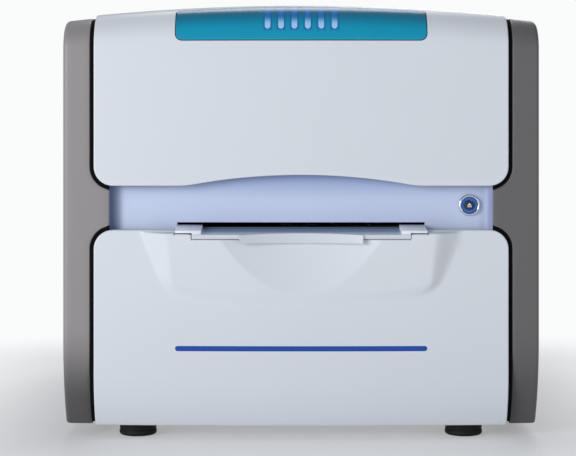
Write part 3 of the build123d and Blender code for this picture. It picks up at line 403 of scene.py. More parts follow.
WHITE = rgb(207, 212, 219)
FINISHES = {
    "white_shell": Finish("white_shell", WHITE, 0.40, 0.8, 0.010, 0.012, coat=0.06),
    # Waist panel: a painted shadow darkens its top under the upper cover's edge, and painted shade darkens
    # both ends where they curve forward, the left end more.
    "waist_shell": PaintedShade(Finish("waist_shell", rgb(189, 201, 228), 0.42, 0.8, 0.010, 0.015),
                         (("z", False, 198.0, 228.0, rgb(122, 142, 188)),
                          ("x", False, 148.0, 161.0, rgb(142, 156, 190)),
                          ("x", False, -148.0, -160.5, rgb(84, 100, 136)))),
    # Side panels: painted shade makes them darker from left to right across the machine, as if lit from the
    # left, and darker low on the curled chin.
    "grey_panel": PaintedShade(Finish("grey_panel", rgb(136, 133, 135), 0.46, 0.7, 0.022, 0.02),
                        (("x", False, -176.0, 176.0, rgb(94, 92, 93)),
                         ("z", False, 100.0, 30.0, rgb(76, 74, 76)))),
    "dark_seal": Finish("dark_seal", rgb(4, 4, 6), 0.8, 1.2, 0.02, 0.1, specular=0.1),
    # Teal window: painted shade over its top edge, a painted highlight along its rim and a painted glow round
    # the status lights.
    "teal_window": Window("teal_window", rgb(6, 140, 174), rgb(6, 92, 122), rgb(12, 92, 158),
                          11.2, 6, 2.4, 346.0, 363.6),
    "light_lens": Lit("light_lens", rgb(144, 178, 212), rgb(140, 186, 232), rgb(14, 112, 172), 0.22,
                      349.0, 356.5),
    "blue_stripe": Finish("blue_stripe", rgb(24, 72, 162), 0.45, 1.5, 0.006, 0.04, specular=0.25),
    "sheet_metal": Finish("sheet_metal", rgb(176, 178, 182), 0.5, 0.6, 0.02, 0.02, metallic=0.15),
    "frame_steel": Metal("frame_steel", rgb(182, 184, 188), 0.38, (1, 30, 1), 0.5),
    "machined_alloy": Metal("machined_alloy", rgb(205, 207, 210), 0.34, (24, 1, 1), 0.4),
    "black_alloy": Metal("black_alloy", rgb(46, 47, 52), 0.42, (1, 1, 12), 0.4),
    "rail_steel": Metal("rail_steel", rgb(190, 192, 196), 0.22, (1, 60, 1), 0.25),
    "screw_steel": Metal("screw_steel", rgb(170, 172, 176), 0.3, (1, 1, 1), 0.5),
    "chrome_ring": Metal("chrome_ring", rgb(216, 219, 226), 0.12, (1, 1, 1), 0.6, 0.002),
    "foot_rubber": Finish("foot_rubber", rgb(13, 13, 14), 0.72, 1.0, 0.03, 0.12, specular=0.3),
    "black_plastic": Finish("black_plastic", rgb(38, 38, 42), 0.5, 0.7, 0.02, 0.08),
    "tray_plastic": Finish("tray_plastic", rgb(226, 231, 240), 0.42, 0.8, 0.010, 0.015),
    "carrier_metal": Metal("carrier_metal", rgb(118, 130, 150), 0.5, (1, 1, 1), 0.3, 0.012),
    "slide_glass": Pane("slide_glass", rgb(214, 232, 236)),
    "board_green": Board("board_green", rgb(18, 78, 52), rgb(52, 122, 82)),
    "lit_ring": Lit("lit_ring", rgb(44, 92, 174), rgb(60, 116, 205), rgb(44, 92, 174), 0.25, 180.0, 240.0),
    "filter_foam": Finish("filter_foam", rgb(26, 27, 29), 0.9, 1.6, 0.3, 0.15, specular=0.2),
    "cap_dark": Finish("cap_dark", rgb(34, 38, 48), 0.35, 0.8, 0.006, 0.08),
}


# ---- Mesh work -----------------------------------------------------------------------------------
def linspace(low: float, high: float, count: int) -> list[float]:
    """Evenly spaced values, both ends included."""
    return [low + (high - low) * i / (count - 1) for i in range(count)]


class Maker:
    """Turns points in millimetres into finished pieces."""

    def __init__(self) -> None:
        self.materials: dict[str, bpy.types.Material] = {k: f.make() for k, f in FINISHES.items()}

    def piece(self, name: str, shape: "Shape", slot: str, body: Body, replaces: Sequence[str] = (),
              sharp: float = 32.0) -> bpy.types.Object:
        """Make a piece, give it its finish and let it ride on a body.

        Args:
            name: Name of the piece.
            shape: Its points in millimetres and its faces, counter-clockwise from outside.
            slot: Material slot.
            body: Body that it rides on.
            replaces: CAD nodes that it stands for.
            sharp: Angle in degrees above which an edge is sharp.

        Returns:
            The new object.
        """
        mesh = bpy.data.meshes.new(name)
        points = [tuple(c * MM for c in p) for p in shape.points]
        mesh.from_pydata(points, [], [tuple(f) for f in shape.faces])
        mesh.validate()
        return self.finish(bpy.data.objects.new(name, mesh), slot, body, replaces, sharp)

    def finish(self, piece: bpy.types.Object, slot: str, body: Body, replaces: Sequence[str] = (),
               sharp: float = 32.0) -> bpy.types.Object:
        """Smooth, colour and attach a piece."""
        mesh = piece.data
        mesh.polygons.foreach_set("use_smooth", [True] * len(mesh.polygons))
        mesh.set_sharp_from_angle(angle=math.radians(sharp))
        mesh.materials.clear()
        mesh.materials.append(self.materials[slot])
        bpy.context.scene.collection.objects.link(piece)
        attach(piece, body.value)
        if replaces:
            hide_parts(*replaces)
        log.info("%s: %d faces on %s", piece.name, len(mesh.polygons), body.value)
        return piece


@dataclass
class Shape:
    """Points and faces being gathered for one piece."""

    points: list = field(default_factory=list)
    faces: list = field(default_factory=list)

    def grid(self, rows: Sequence[Sequence[Vector]], loop: bool = False, flip: bool = False) -> None:
        """Add a grid of points; its rows may close on themselves."""
        start, width = len(self.points), len(rows[0])
        for row in rows:
            self.points.extend(tuple(p) for p in row)
        across = width if loop else width - 1
        for i in range(len(rows) - 1):
            for j in range(across):
                k = (j + 1) % width
                quad = (start + i * width + j, start + i * width + k,
                        start + (i + 1) * width + k, start + (i + 1) * width + j)
                self.faces.append(tuple(reversed(quad)) if flip else quad)

    def cap(self, first: int, count: int, flip: bool = False) -> None:
        """Close a ring of points with one face."""
        ring = list(range(first, first + count))
        self.faces.append(tuple(reversed(ring)) if flip else tuple(ring))

    def lathe(self, profile: Sequence[tuple[float, float]], origin: Sequence[float], axis: Sequence[float],
              steps: int = 64) -> None:
        """Turn a profile of (radius, height) pairs, listed from the axis round to the axis again."""
        turn = Vector(axis).to_track_quat("Z", "Y").to_matrix()
        base = len(self.points)
        for radius, height in profile:
            for k in range(steps):
                a = 2 * math.pi * k / steps
                local = Vector((max(radius, 0.01) * math.cos(a), max(radius, 0.01) * math.sin(a), height))
                self.points.append(tuple(Vector(origin) + turn @ local))
        for i in range(len(profile) - 1):
            for k in range(steps):
                n = (k + 1) % steps
                self.faces.append((base + i * steps + k, base + i * steps + n,
                                   base + (i + 1) * steps + n, base + (i + 1) * steps + k))
        last = base + (len(profile) - 1) * steps
        if profile[0][0] < 0.02:
            self.cap(base, steps, flip=True)
            self.cap(last, steps)
        else:
            for k in range(steps):
                n = (k + 1) % steps
                self.faces.append((last + k, last + n, base + n, base + k))

    def prism(self, outline: Sequence[Sequence[float]], rise: Sequence[float], edge: float) -> None:
        """Plate from a convex outline, raised along a vector, with its far edge drawn in."""
        rise = Vector(rise)
        centre = sum((Vector(p) for p in outline), Vector()) / len(outline)
        rings = []
        for lift, inset in ((0.0, 0.0), (1 - edge / rise.length, 0.0), (1.0, edge)):
            rings.append([Vector(p) + (centre - Vector(p)).normalized() * inset + rise * lift
                          for p in outline])
        start = len(self.points)
        self.grid(rings, loop=True)
        self.cap(start, len(outline), flip=True)
        self.cap(start + 2 * len(outline), len(outline))


def arc(centre: Sequence[float], radius: float, start: float, end: float,
        count: int) -> list[tuple[float, float]]:
    """Points on a circle between two angles in degrees."""
    return [(centre[0] + radius * math.cos(math.radians(a)), centre[1] + radius * math.sin(math.radians(a)))
            for a in linspace(start, end, count)]


@dataclass(frozen=True)
class Form:
    """The machine's outer form: bowed front, arched top, curled chin, rounded rear edge."""

    recess: float = 0.0
    chin_rise: float = 45.0
    chin_depth: float = 13.0
    bow: float = 3200.0
    crown: float = 1950.0
    front: float = -245.0
    rear_end: float = 260.0
    top: float = 367.0
    bottom: float = 11.0
    front_radius: float = 28.0
    rear_radius: float = 18.0

    def face(self, x: float) -> float:
        """Y of the front at a given X."""
        return self.front + self.bow - math.sqrt((self.bow - self.recess) ** 2 - x * x)

    def roof(self, x: float) -> float:
        """Z of the top at a given X."""
        return self.top - self.crown + math.sqrt((self.crown - self.recess) ** 2 - x * x)

    def turn(self, x: float) -> float:
        """Height at which the front starts to round over."""
        return self.roof(x) - (self.front_radius - self.recess)

    def marks(self, x: float) -> tuple[float, ...]:
        """Lengths along the profile where it changes: chin end, chin, front, top, rear, underside."""
        radius, back = self.front_radius - self.recess, self.rear_radius - self.recess
        chin = self.bottom + self.chin_rise
        bend = (self.chin_depth ** 2 + self.chin_rise ** 2) / (2 * self.chin_depth)
        low = chin - bend * math.asin(self.chin_rise / bend)
        over = self.turn(x) + radius * math.pi / 2
        run = self.rear_end - self.recess - back - (self.face(x) + radius)
        down = over + run + back * math.pi / 2
        return low, chin, self.turn(x), over, over + run, down

    def at(self, x: float, s: float) -> Vector:
        """Point at a length along the profile, measured as height on the flat front."""
        low, chin, turn, over, run, down = self.marks(x)
        front, roof = self.face(x), self.roof(x)
        radius, back = self.front_radius - self.recess, self.rear_radius - self.recess
        if s < chin:
            bend = (self.chin_depth ** 2 + self.chin_rise ** 2) / (2 * self.chin_depth)
            a = (chin - s) / bend
            return Vector((x, front + bend * (1 - math.cos(a)), chin - bend * math.sin(a)))
        if s <= turn:
            return Vector((x, front, s))
        if s <= over:
            a = (s - turn) / radius
            return Vector((x, front + radius * (1 - math.cos(a)), turn + radius * math.sin(a)))
        if s <= run:
            return Vector((x, front + radius + s - over, roof))
        if s <= down:
            a = (s - run) / back
            rear = self.rear_end - self.recess - back
            return Vector((x, rear + back * math.sin(a), roof - back + back * math.cos(a)))
        return Vector((x, self.rear_end - self.recess, roof - back - (s - down)))

    def normal(self, x: float, s: float) -> Vector:
        """Outward direction at a point of the profile."""
        across = self.at(x + 0.5, s) - self.at(x - 0.5, s)
        along = self.at(x, s + 0.05) - self.at(x, s - 0.05)
        return across.cross(along).normalized()

    def height(self, x: float, z: float) -> float:
        """Length along the profile at a height of the front or its rounded top edge."""
        turn, radius = self.turn(x), self.front_radius - self.recess
        if z <= turn:
            return z
        return turn + radius * math.asin(min(1.0, (z - turn) / radius))


COVER = Form()
PANEL = Form(recess=2.5, chin_rise=72.0, chin_depth=20.0)


def sheet(form: Form, columns: Sequence[Sequence[tuple[float, float]]], round_mm: float, depth: float,
          lift: Callable[[float, float], float] | None = None, wall: float = 2.6,
          solid_back: bool = False) -> Shape:
    """Closed moulded sheet on the form, its edges rounded over and turned in.

    Args:
        form: The surface that it lies on.
        columns: Columns of (x, length) points from low to high, listed from left to right.
        round_mm: Radius of the outer edge.
        depth: How far the edge turns in.
        lift: Height of the surface above the form at a point.
        wall: Thickness away from the edges.
        solid_back: Whether the inside ignores the lift.

    Returns:
        The sheet's points and faces.
    """
    outer, inner, normals = [], [], []
    for column in columns:
        base = [(form.at(x, s), form.normal(x, s)) for x, s in column]
        rise = [lift(x, s) if lift else 0.0 for x, s in column]
        outer.append([p + n * h for (p, n), h in zip(base, rise)])
        normals.append([n for _, n in base])
        inner.append([p + n * ((0.0 if solid_back else h) - wall) for (p, n), h in zip(base, rise)])
    wide, tall = len(columns), len(columns[0])
    path = ([(i, 0) for i in range(wide)] + [(wide - 1, j) for j in range(1, tall)]
            + [(i, tall - 1) for i in range(wide - 2, -1, -1)] + [(0, j) for j in range(tall - 2, 0, -1)])
    edge = [outer[i][j] for i, j in path]
    facing = [normals[i][j] for i, j in path]
    out = []
    for k, n in enumerate(facing):
        along = edge[(k + 1) % len(edge)] - edge[k - 1]
        out.append(along.cross(n).normalized() if along.length > 1e-6 else Vector((0, 0, 0)))
    rings = [[p + o * round_mm * math.sin(a) - n * round_mm * (1 - math.cos(a))
              for p, o, n in zip(edge, out, facing)] for a in linspace(0, math.pi / 2, 4)]
    rings.append([p + o * round_mm - n * depth for p, o, n in zip(edge, out, facing)])
    rings.append([p + o * (round_mm - 1.6) - n * depth for p, o, n in zip(edge, out, facing)])
    rings.append([inner[i][j] for i, j in path])
    shape = Shape()
    shape.grid([[outer[i][j] for j in range(tall)] for i in range(wide)], flip=True)
    shape.grid([[inner[i][j] for j in range(tall)] for i in range(wide)])
    shape.grid(rings, loop=True, flip=True)
    return weld(shape)


def weld(shape: Shape, near: float = 0.002) -> Shape:
    """Join points that lie in one place and drop faces without area."""
    seen: dict[tuple[int, int, int], int] = {}
    number, points = [], []
    for p in shape.points:
        key = tuple(round(c / near) for c in p)
        if key not in seen:
            seen[key] = len(points)
            points.append(p)
        number.append(seen[key])
    faces = []
    for f in shape.faces:
        ring = []
        for v in (number[k] for k in f):
            if not ring or ring[-1] != v:
                ring.append(v)
        if ring[0] == ring[-1]:
            ring.pop()
        if len(ring) > 2 and len(set(ring)) == len(ring):
            faces.append(tuple(ring))
    return Shape(points, faces)


def corner_spread(half: float, radius: float, steps: int, middle: Sequence[float]) -> list[float]:
    """X places from left to right, close together over the two rounded corners."""
    right = [half - radius + radius * math.sin(a) for a in linspace(0, math.pi / 2, steps)]
    return [-x for x in reversed(right)] + list(middle) + right


def corner_drop(x: float, half: float, radius: float) -> float:
    """How far a rounded corner stands back from its edge line at a given X."""
    over = abs(x) - (half - radius)
    return radius - math.sqrt(max(0.0, radius ** 2 - over ** 2)) if over > 0 else 0.0


def stretches(*parts: tuple[float, float, int]) -> list[float]:
    """Joined runs of evenly spaced values."""
    values: list[float] = []
    for low, high, count in parts:
        values += linspace(low, high, count + 1)[(1 if values else 0):]
    return values


# ---- Sub-assemblies -------------------------------------------------------------------------------
@dataclass
class UpperCover:
    """Arched top cover with its accent window and status lights."""

    half: float = 174.0
    low: float = 214.0
    corner: float = 16.0
    arch_half: float = 96.0
    arch_rise: float = 9.1
    edge_round: float = 1.1
    flange: float = 9.5
    window_half: float = 105.0
    window_low: float = 336.0
    window_reach: float = 17.0
    window_corner: float = 5.0
    light_pitch: float = 11.2
    light_count: int = 6
    light_width: float = 4.8
    light_low: float = 345.3
    light_high: float = 361.0

    def edge(self, x: float) -> float:
        """Height of the lower edge at a given X."""
        radius = (self.arch_half ** 2 + self.arch_rise ** 2) / (2 * self.arch_rise)

        def arch(place: float) -> float:
            if abs(place) >= self.arch_half:
                return 0.0
            return math.sqrt(radius ** 2 - place ** 2) - (radius - self.arch_rise)

        return self.low + sum(arch(x + t) for t in (-6, -4, -2, 0, 2, 4, 6)) / 7

    def build(self, maker: Maker) -> None:
        """Make the cover, window and lights."""
        r = self.edge_round
        half, corner = self.half - r, self.corner - r
        columns = []
        for x in corner_spread(half, corner, 9, linspace(-half + corner + 4, half - corner - 4, 62)):
            low = self.edge(x) + r + corner_drop(x, half, corner)
            _, _, turn, over, run, down = COVER.marks(x)
            values = stretches((low, 250, 10), (250, turn, 8), (turn, over, 14), (over, run, 26),
                               (run, down, 10), (down, down + 8, 2))
            columns.append([(x, s) for s in values])
        shape = sheet(COVER, columns, r, self.flange)
        maker.piece("upper_cover_shell", shape, "white_shell", Body.HOUSING, ("upper_cover",))
        self.window(maker, "window_gasket", 0.75, 0.10, "dark_seal", ())
        self.window(maker, "window_pane", 0.0, 0.28, "teal_window", ("accent_window",))
        self.lights(maker)

    def window(self, maker: Maker, name: str, grow: float, proud: float, slot: str,
               replaces: Sequence[str]) -> None:
        """Make one layer of the window, grown round its outline."""
        half, corner = self.window_half + grow - 0.3, self.window_corner + grow
        columns = []
        for x in corner_spread(half, corner, 7, linspace(-half + corner + 2, half - corner - 2, 50)):
            drop = corner_drop(x, half, corner)
            low = self.window_low - grow + 0.3 + drop
            turn, radius = COVER.turn(x), COVER.front_radius
            reach = self.window_reach + COVER.front - COVER.face(x)
            high = turn + radius * math.acos(1 - reach / radius) + grow - 0.3 - drop * 0.6
            columns.append([(x, s) for s in linspace(low, high, 24)])
        shape = sheet(COVER, columns, 0.3, 1.4 - proud, lift=lambda x, s: proud, wall=1.2)
        maker.piece(name, shape, slot, Body.HOUSING, replaces)

    def lights(self, maker: Maker) -> None:
        """Make the six upright light guides as one piece."""
        shape = Shape()
        radius = self.light_width / 2 - 0.25
        for i in range(self.light_count):
            centre = (i - (self.light_count - 1) / 2) * self.light_pitch
            columns = []
            for a in linspace(-88, 88, 15):
                x = centre + radius * math.sin(math.radians(a))
                cut = radius * (1 - math.cos(math.radians(a)))
                low = COVER.height(x, self.light_low + 0.25 + cut)
                high = COVER.height(x, self.light_high - 0.25 - cut)
                run = stretches((low, low + 2, 3), (low + 2, high - 2, 10), (high - 2, high, 3))
                columns.append([(x, s) for s in run])
            lens = sheet(COVER, columns, 0.25, 1.2, lift=lambda x, s: 0.5, wall=1.2)
            base = len(shape.points)
            shape.points += lens.points
            shape.faces += [tuple(v + base for v in f) for f in lens.faces]
        maker.piece("status_light_guides", shape, "light_lens", Body.HOUSING, ("status_lenses",))


@dataclass
class LowerCover:
    """Lower front cover: bulge, finger scoop, tray notch, curled chin and blue stripe."""

    half: float = 174.0
    top: float = 177.0
    corner: float = 16.0
    edge_round: float = 1.1
    flange: float = 9.5
    notch_half: float = 91.6
    notch_floor: float = 169.9
    ledge_half: float = 105.4
    ledge_top: float = 174.4
    bulge_top: float = 176.0
    bulge_low: float = 108.6
    bulge_low_end: float = 119.0
    bulge_half_top: float = 137.0
    bulge_half_low: float = 113.0
    bulge_reach: float = 15.0
    bulge_corner: float = 18.0
    scoop_radius: float = 230.0
    scoop_centre: float = -478.0
    scoop_half: float = 90.0
    stripe_half: float = 105.5
    stripe_z: float = 78.0
    stripe_height: float = 4.4

    def lift(self, x: float, z: float) -> float:
        """Height of the bulge above the bowed face, less the finger scoop."""
        rise, fall = self.bulge_top - self.bulge_low_end, self.bulge_half_top - self.bulge_half_low
        run = math.hypot(rise, fall)
        side = ((self.bulge_half_top - abs(x)) * rise - (self.bulge_top - z) * fall) / run
        sag = self.bulge_low_end - self.bulge_low
        radius = (self.bulge_half_low ** 2 + sag ** 2) / (2 * sag)
        below = z - (self.bulge_low + radius - math.sqrt(radius ** 2 - min(abs(x), 200) ** 2))
        above = self.bulge_top - z
        if min(side, below, above) <= 0:
            return 0.0
        lean = self.bulge_reach * (z - self.bulge_low) / (self.bulge_top - self.bulge_low)
        height = lean
        soft = self.bulge_corner
        if side < soft and below < soft:
            side = max(0.0, soft - math.hypot(soft - side, soft - below))
        for distance, width in ((side, 1.5 * lean + 3.0), (below, 15.0)):
            share = min(1.0, distance / width)
            height *= share * share * (3 - 2 * share)
        share = min(1.0, above / 1.8)
        height *= math.sqrt(1 - (1 - share) ** 2)
        if abs(x) >= self.scoop_half:
            return height
        limit = COVER.face(x) - (self.scoop_centre + math.sqrt(self.scoop_radius ** 2 - x * x))
        return min(height, max(limit, 0.0))

    def build(self, maker: Maker) -> None:
        """Make the cover and its stripe."""
        r = self.edge_round
        half, corner = self.half - r, self.corner - r
        end = half - corner - 3
        right = ((52, 76, 34), (76, 91.4, 11), (91.4, 91.8, 1), (91.8, 105.2, 9), (105.2, 105.6, 1),
                 (105.6, 110, 5), (110, 139, 26), (139, end, 5))
        left = tuple((-high, -low, count) for low, high, count in reversed(right))
        middle = stretches(*left, (-52, 52, 56), *right)
        columns = []
        for x in corner_spread(half, corner, 9, middle):
            high = self.top - r - corner_drop(x, half, corner)
            if abs(x) < self.notch_half:
                high = self.notch_floor - r
            elif abs(x) < self.ledge_half:
                high = self.ledge_top - r
            low, chin = COVER.marks(x)[:2]
            values = stretches((low + r, chin, 14), (chin, 105, 6), (105, 160, 46),
                               (160, min(high, 172.0), 9), (min(high, 172.0), min(high, 176.1), 11),
                               (min(high, 176.1), max(high, 176.15) if high > 176.1 else high, 2))
            columns.append([(x, s) for s in values])
        shape = sheet(COVER, columns, r, self.flange, lift=self.lift, solid_back=True)
        maker.piece("lower_cover_shell", shape, "white_shell", Body.HOUSING,
                    ("lower_front_cover",), sharp=50)
        radius = self.stripe_height / 2 - 0.2
        end = self.stripe_half - radius - 0.2
        places = ([-end - radius * math.cos(math.radians(a)) for a in linspace(2, 90, 8)]
                  + linspace(-end + 1, end - 1, 40)
                  + [end + radius * math.cos(math.radians(a)) for a in linspace(90, 2, 8)])
        columns = []
        for x in places:
            over = max(0.0, abs(x) - end)
            tall = math.sqrt(max(0.0, radius ** 2 - over ** 2))
            columns.append([(x, self.stripe_z + tall * t) for t in linspace(-1, 1, 7)])
        shape = sheet(COVER, columns, 0.2, 1.0, lift=lambda x, s: 0.12, wall=0.9)
        maker.piece("front_stripe", shape, "blue_stripe", Body.HOUSING, ("accent_stripe",))


@dataclass
class Waist:
    """Waist panel behind the covers, curving forward to the side panels' tabs."""

    half: float = 170.7
    low: float = 167.0
    high: float = 233.1
    tab_half: float = 161.0
    setback: float = 12.2
    fillet: float = 8.6
    slot_half: float = 105.5
    slot_top: float = 183.5

    def lift(self, x: float, s: float) -> float:
        """Depth behind the covers' face; the two ends curve forward."""
        over = abs(x) - (self.tab_half - self.fillet)
        if over <= 0:
            return -self.setback
        share = min(1.0, over / self.fillet)
        forward = (self.setback - 4.2) * (1 - math.sqrt(max(0.0, 1 - share ** 2)))
        return -self.setback + (forward if abs(x) < self.tab_half + 0.4 else 0.0)

    def build(self, maker: Maker) -> None:
        """Make the panel."""
        right = stretches((self.slot_half, self.slot_half + 0.1, 1), (self.slot_half + 0.1, 152, 12),
                          (152, self.tab_half + 0.3, 12), (self.tab_half + 0.3, self.tab_half + 0.5, 1),
                          (self.tab_half + 0.5, self.half, 3))
        middle = linspace(-self.slot_half + 0.6, self.slot_half - 0.6, 40)
        columns = []
        for x in [-x for x in reversed(right)] + middle + right:
            low = self.slot_top if abs(x) < self.slot_half + 0.05 else self.low
            columns.append([(x, s) for s in stretches((low, 190, 6), (190, self.high, 10))])
        shape = sheet(COVER, columns, 0.6, 3.0, lift=self.lift, wall=2.9)
        maker.piece("waist_shell", shape, "waist_shell", Body.HOUSING, ("waist_panel",), sharp=50)


@dataclass
class SidePanel:
    """Grey side panel with the tab that reaches in at the waist."""

    side: int
    outer: float = 200.5
    seam_x: float = 177.5
    tab_half: float = 161.0
    corner: float = 19.5
    corner_x: float = 158.0
    low_corner_z: float = 161.0
    high_corner_z: float = 230.0
    edge_round: float = 4.0
    lip_round: float = 1.2

    def inner_x(self, z: float) -> float:
        """Inner edge at a height of the front."""
        if self.low_corner_z < z < self.low_corner_z + self.corner:
            arc_x = self.corner_x + math.sqrt(self.corner ** 2 - (z - self.low_corner_z) ** 2)
        elif self.high_corner_z - self.corner < z < self.high_corner_z:
            arc_x = self.corner_x + math.sqrt(self.corner ** 2 - (self.high_corner_z - z) ** 2)
        elif z <= self.low_corner_z or z >= self.high_corner_z:
            return self.seam_x
        else:
            return self.tab_half
        return max(arc_x, self.tab_half)

    def stations(self, x: float) -> list[tuple[float, bool]]:
        """Lengths along the profile, and whether each is on the upright front."""
        low, chin, turn, over, run, down = PANEL.marks(x)
        values = [(s, True) for s in stretches((low, chin, 14), (chin, 160, 8), (160, 182, 20), (182, 209, 6),
                                               (209, 231, 20), (231, turn, 8))]
        values += [(s, False) for s in stretches((turn, over, 12), (over, run, 10), (run, down, 8))[1:]]
        bottom = down + PANEL.roof(x) - (PANEL.rear_radius - PANEL.recess) - 13.5
        values += [(s, False) for s in stretches((down, bottom, 10))[1:]]
        return values

    def ring(self, place: Callable[[float, bool], float], inset: float) -> list[Vector]:
        """Closed side profile, drawn in by an inset.

        Args:
            place: X at a length along the profile, given whether that is on the front.
            inset: Depth behind the panel's surface.

        Returns:
            The ring's points.
        """
        points = []
        for s, on_front in self.stations(self.seam_x):
            x = place(s, on_front)
            normal = PANEL.normal(x, s)
            points.append(PANEL.at(x, s) - Vector((0, normal.y, normal.z)) * inset)
        return points

    def edge(self, s: float, on_front: bool) -> float:
        """Inner edge of the panel at a length along its profile."""
        return self.inner_x(s) if on_front else self.seam_x

    def build(self, maker: Maker) -> None:
        """Make the panel, mirrored for the left side."""
        r, lip, outer = self.edge_round, self.lip_round, self.outer - self.edge_round
        rings = [self.ring(lambda s, f: self.seam_x + 1.5, 12.0), self.ring(self.edge, 9.0)]
        for a in linspace(0, math.pi / 2, 5):
            rings.append(self.ring(lambda s, f: self.edge(s, f) + lip * (1 - math.cos(a)),
                                   lip * (1 - math.sin(a))))
        for t in (0.2, 0.4, 0.6, 0.8):
            rings.append(self.ring(lambda s, f: (self.edge(s, f) + lip) * (1 - t) + outer * t, 0.0))
        for a in linspace(0, math.pi / 2, 8):
            rings.append(self.ring(lambda s, f: outer + r * math.sin(a), r * (1 - math.cos(a))))
        shape = Shape()
        rings = [[Vector((p.x * self.side, p.y, p.z)) for p in ring] for ring in rings]
        shape.grid(rings, loop=True, flip=self.side < 0)
        count = len(rings[0])
        shape.cap(0, count, flip=self.side > 0)
        shape.cap(len(rings) * count - count, count, flip=self.side < 0)
        name = "right_side" if self.side > 0 else "left_side"
        shape = weld(shape)
        maker.piece(name + "_skin", shape, "grey_panel", Body.HOUSING,
                    (name + "_panel",), sharp=40)


@dataclass
class TrayNose:
    """Corner guides of the tray, and its colours: white lip, a grey-blue sill in painted shade, and a dark
    plate of painted shade behind it.
    """

    sill_front: float = -246.6
    sill_rear: float = -229.4
    guide_inner: float = 83.0
    guide_step: float = 90.6
    guide_outer: float = 104.4
    guide_front: float = -257.0
    guide_rear: float = -229.05
    step_y: float = -247.4

    def profile(self, x: float, drawn_in: float) -> list[Vector]:
        """Side profile of a guide at a given X, with its top edges drawn in."""
        low = 175.2 if abs(x) > self.guide_step else 173.95
        front, rear = self.guide_front + drawn_in, self.guide_rear - drawn_in
        return [Vector((x, y, z)) for y, z in (
            (front, low + drawn_in), (front, 176.8 - drawn_in), (front + 0.15, 177.12 - drawn_in),
            (front + 0.5, 177.34 - drawn_in), (rear - 0.5, 180.9 - drawn_in), (rear - 0.1, 180.75 - drawn_in),
            (rear, 180.4 - drawn_in), (rear, 177.65), (self.step_y, 175.2))]

    def guides(self, maker: Maker) -> None:
        """Make the two sloping guides as one piece."""
        shape = Shape()
        for side in (-1, 1):
            places = ((self.guide_outer, 0.35), (self.guide_outer - 0.1, 0.1), (self.guide_outer - 0.35, 0.0),
                      (self.guide_step + 0.01, 0.0), (self.guide_step - 0.01, 0.0),
                      (self.guide_inner + 0.35, 0.0), (self.guide_inner + 0.1, 0.1), (self.guide_inner, 0.35))
            rows = [self.profile(side * x, inset) for x, inset in places]
            start, count = len(shape.points), len(rows[0])
            shape.grid(rows, loop=True, flip=side < 0)
            shape.cap(start, count, flip=side > 0)
            shape.cap(start + count * (len(rows) - 1), count, flip=side < 0)
        maker.piece("tray_guides", shape, "tray_plastic", Body.TRAY, ("corner_guides",), 40)

    def build(self, maker: Maker) -> None:
        """Make the guides and give the tray its own finish, with painted shade on its sill and behind it."""
        self.guides(maker)
        white = Finish("tray_with_painted_shade", rgb(200, 206, 216), 0.42, 0.8, 0.010, 0.015)
        # Painted shade: a grey-blue sill from the lip's front edge back, white again beside the guides, and a
        # near-black plate behind the sill where the slot lies in shade.
        shade_zones = (("y", False, self.sill_front - 0.3, self.sill_front + 0.3, rgb(142, 162, 198)),
                 ("x", True, self.guide_step - 0.2, self.guide_step + 0.2, rgb(200, 206, 216)),
                 ("y", False, self.sill_rear, self.sill_rear + 0.6, rgb(10, 12, 17)))
        finish = PaintedShade(white, shade_zones).make()
        for place in frame["nodes"]["slide_tray"].material_slots:
            place.link = "OBJECT"
            place.material = finish


@dataclass
class VentFilter:
    """Pleated dust filter behind the rear vents."""

    left: float = -139.0
    right: float = -11.0
    low: float = 164.0
    high: float = 336.0
    front: float = 249.6
    rear: float = 252.3
    pleat: float = 3.2
    fold: float = 1.1

    def build(self, maker: Maker) -> None:
        """Make the filter as one folded sheet."""
        count = 2 * round((self.right - self.left) / self.pleat)
        rows = []
        for i in range(count + 1):
            x = self.left + (self.right - self.left) * i / count
            rear = self.rear - (0.0 if i % 2 else self.fold)
            rows.append([Vector((x, y, z)) for y, z in (
                (self.front, self.low), (self.front, self.high), (rear, self.high), (rear, self.low))])
        shape = Shape()
        shape.grid(rows, loop=True, flip=True)
        shape.cap(0, 4)
        shape.cap(4 * count, 4, flip=True)
        maker.piece("vent_filter", shape, "filter_foam", Body.HOUSING, (), 20)


@dataclass
class EjectButton:
    """Chrome ring, lit ring and dark cap with its eject mark."""

    x: float = 142.0
    z: float = 197.5
    face: float = -229.64
    mark_half: float = 1.9

    def build(self, maker: Maker) -> None:
        """Make the three turned pieces and the mark."""
        origin = (self.x, self.face, self.z)
        front = (0, -1, 0)
        ring = Shape()
        bead = arc((7.95, 1.95), 1.03, 0, 180, 14)
        ring.lathe([(7.05, 0.6), (7.05, 0.6), (8.98, 0.6)] + bead + [(7.05, 1.7)], origin, front, 96)
        maker.piece("button_chrome", ring, "chrome_ring", Body.HOUSING, ("button_bezel",), 60)
        lit = Shape()
        lit.lathe([(4.5, -0.6), (6.85, -0.6), (6.85, 0.9), (6.6, 1.25), (4.9, 1.25), (4.5, 0.95)],
                  origin, front, 96)
        maker.piece("button_glow_ring", lit, "lit_ring", Body.HOUSING, ("button_light_ring",), 60)
        cap = Shape()
        cap.lathe([(0, -7), (4.15, -7), (4.2, -6.8)] + arc((3.5, 2.05), 0.7, 0, 90, 5)
                  + [(2.6, 2.68), (0, 2.6)], origin, front, 72)
        maker.piece("button_cap_skin", cap, "cap_dark", Body.BUTTON, ("button_cap",), 60)
        mark = Shape()
        y = self.face - 2.5
        wide = self.mark_half
        for outline in (((-wide, -0.35), (wide, -0.35), (0, wide)),
                        ((-wide, -1.7), (wide, -1.7), (wide, -1.0), (-wide, -1.0))):
            mark.prism([(self.x + x, y, self.z + z) for x, z in outline], (0, -0.28, 0), 0.08)
        maker.piece("button_eject_mark", mark, "white_shell", Body.BUTTON, (), 30)


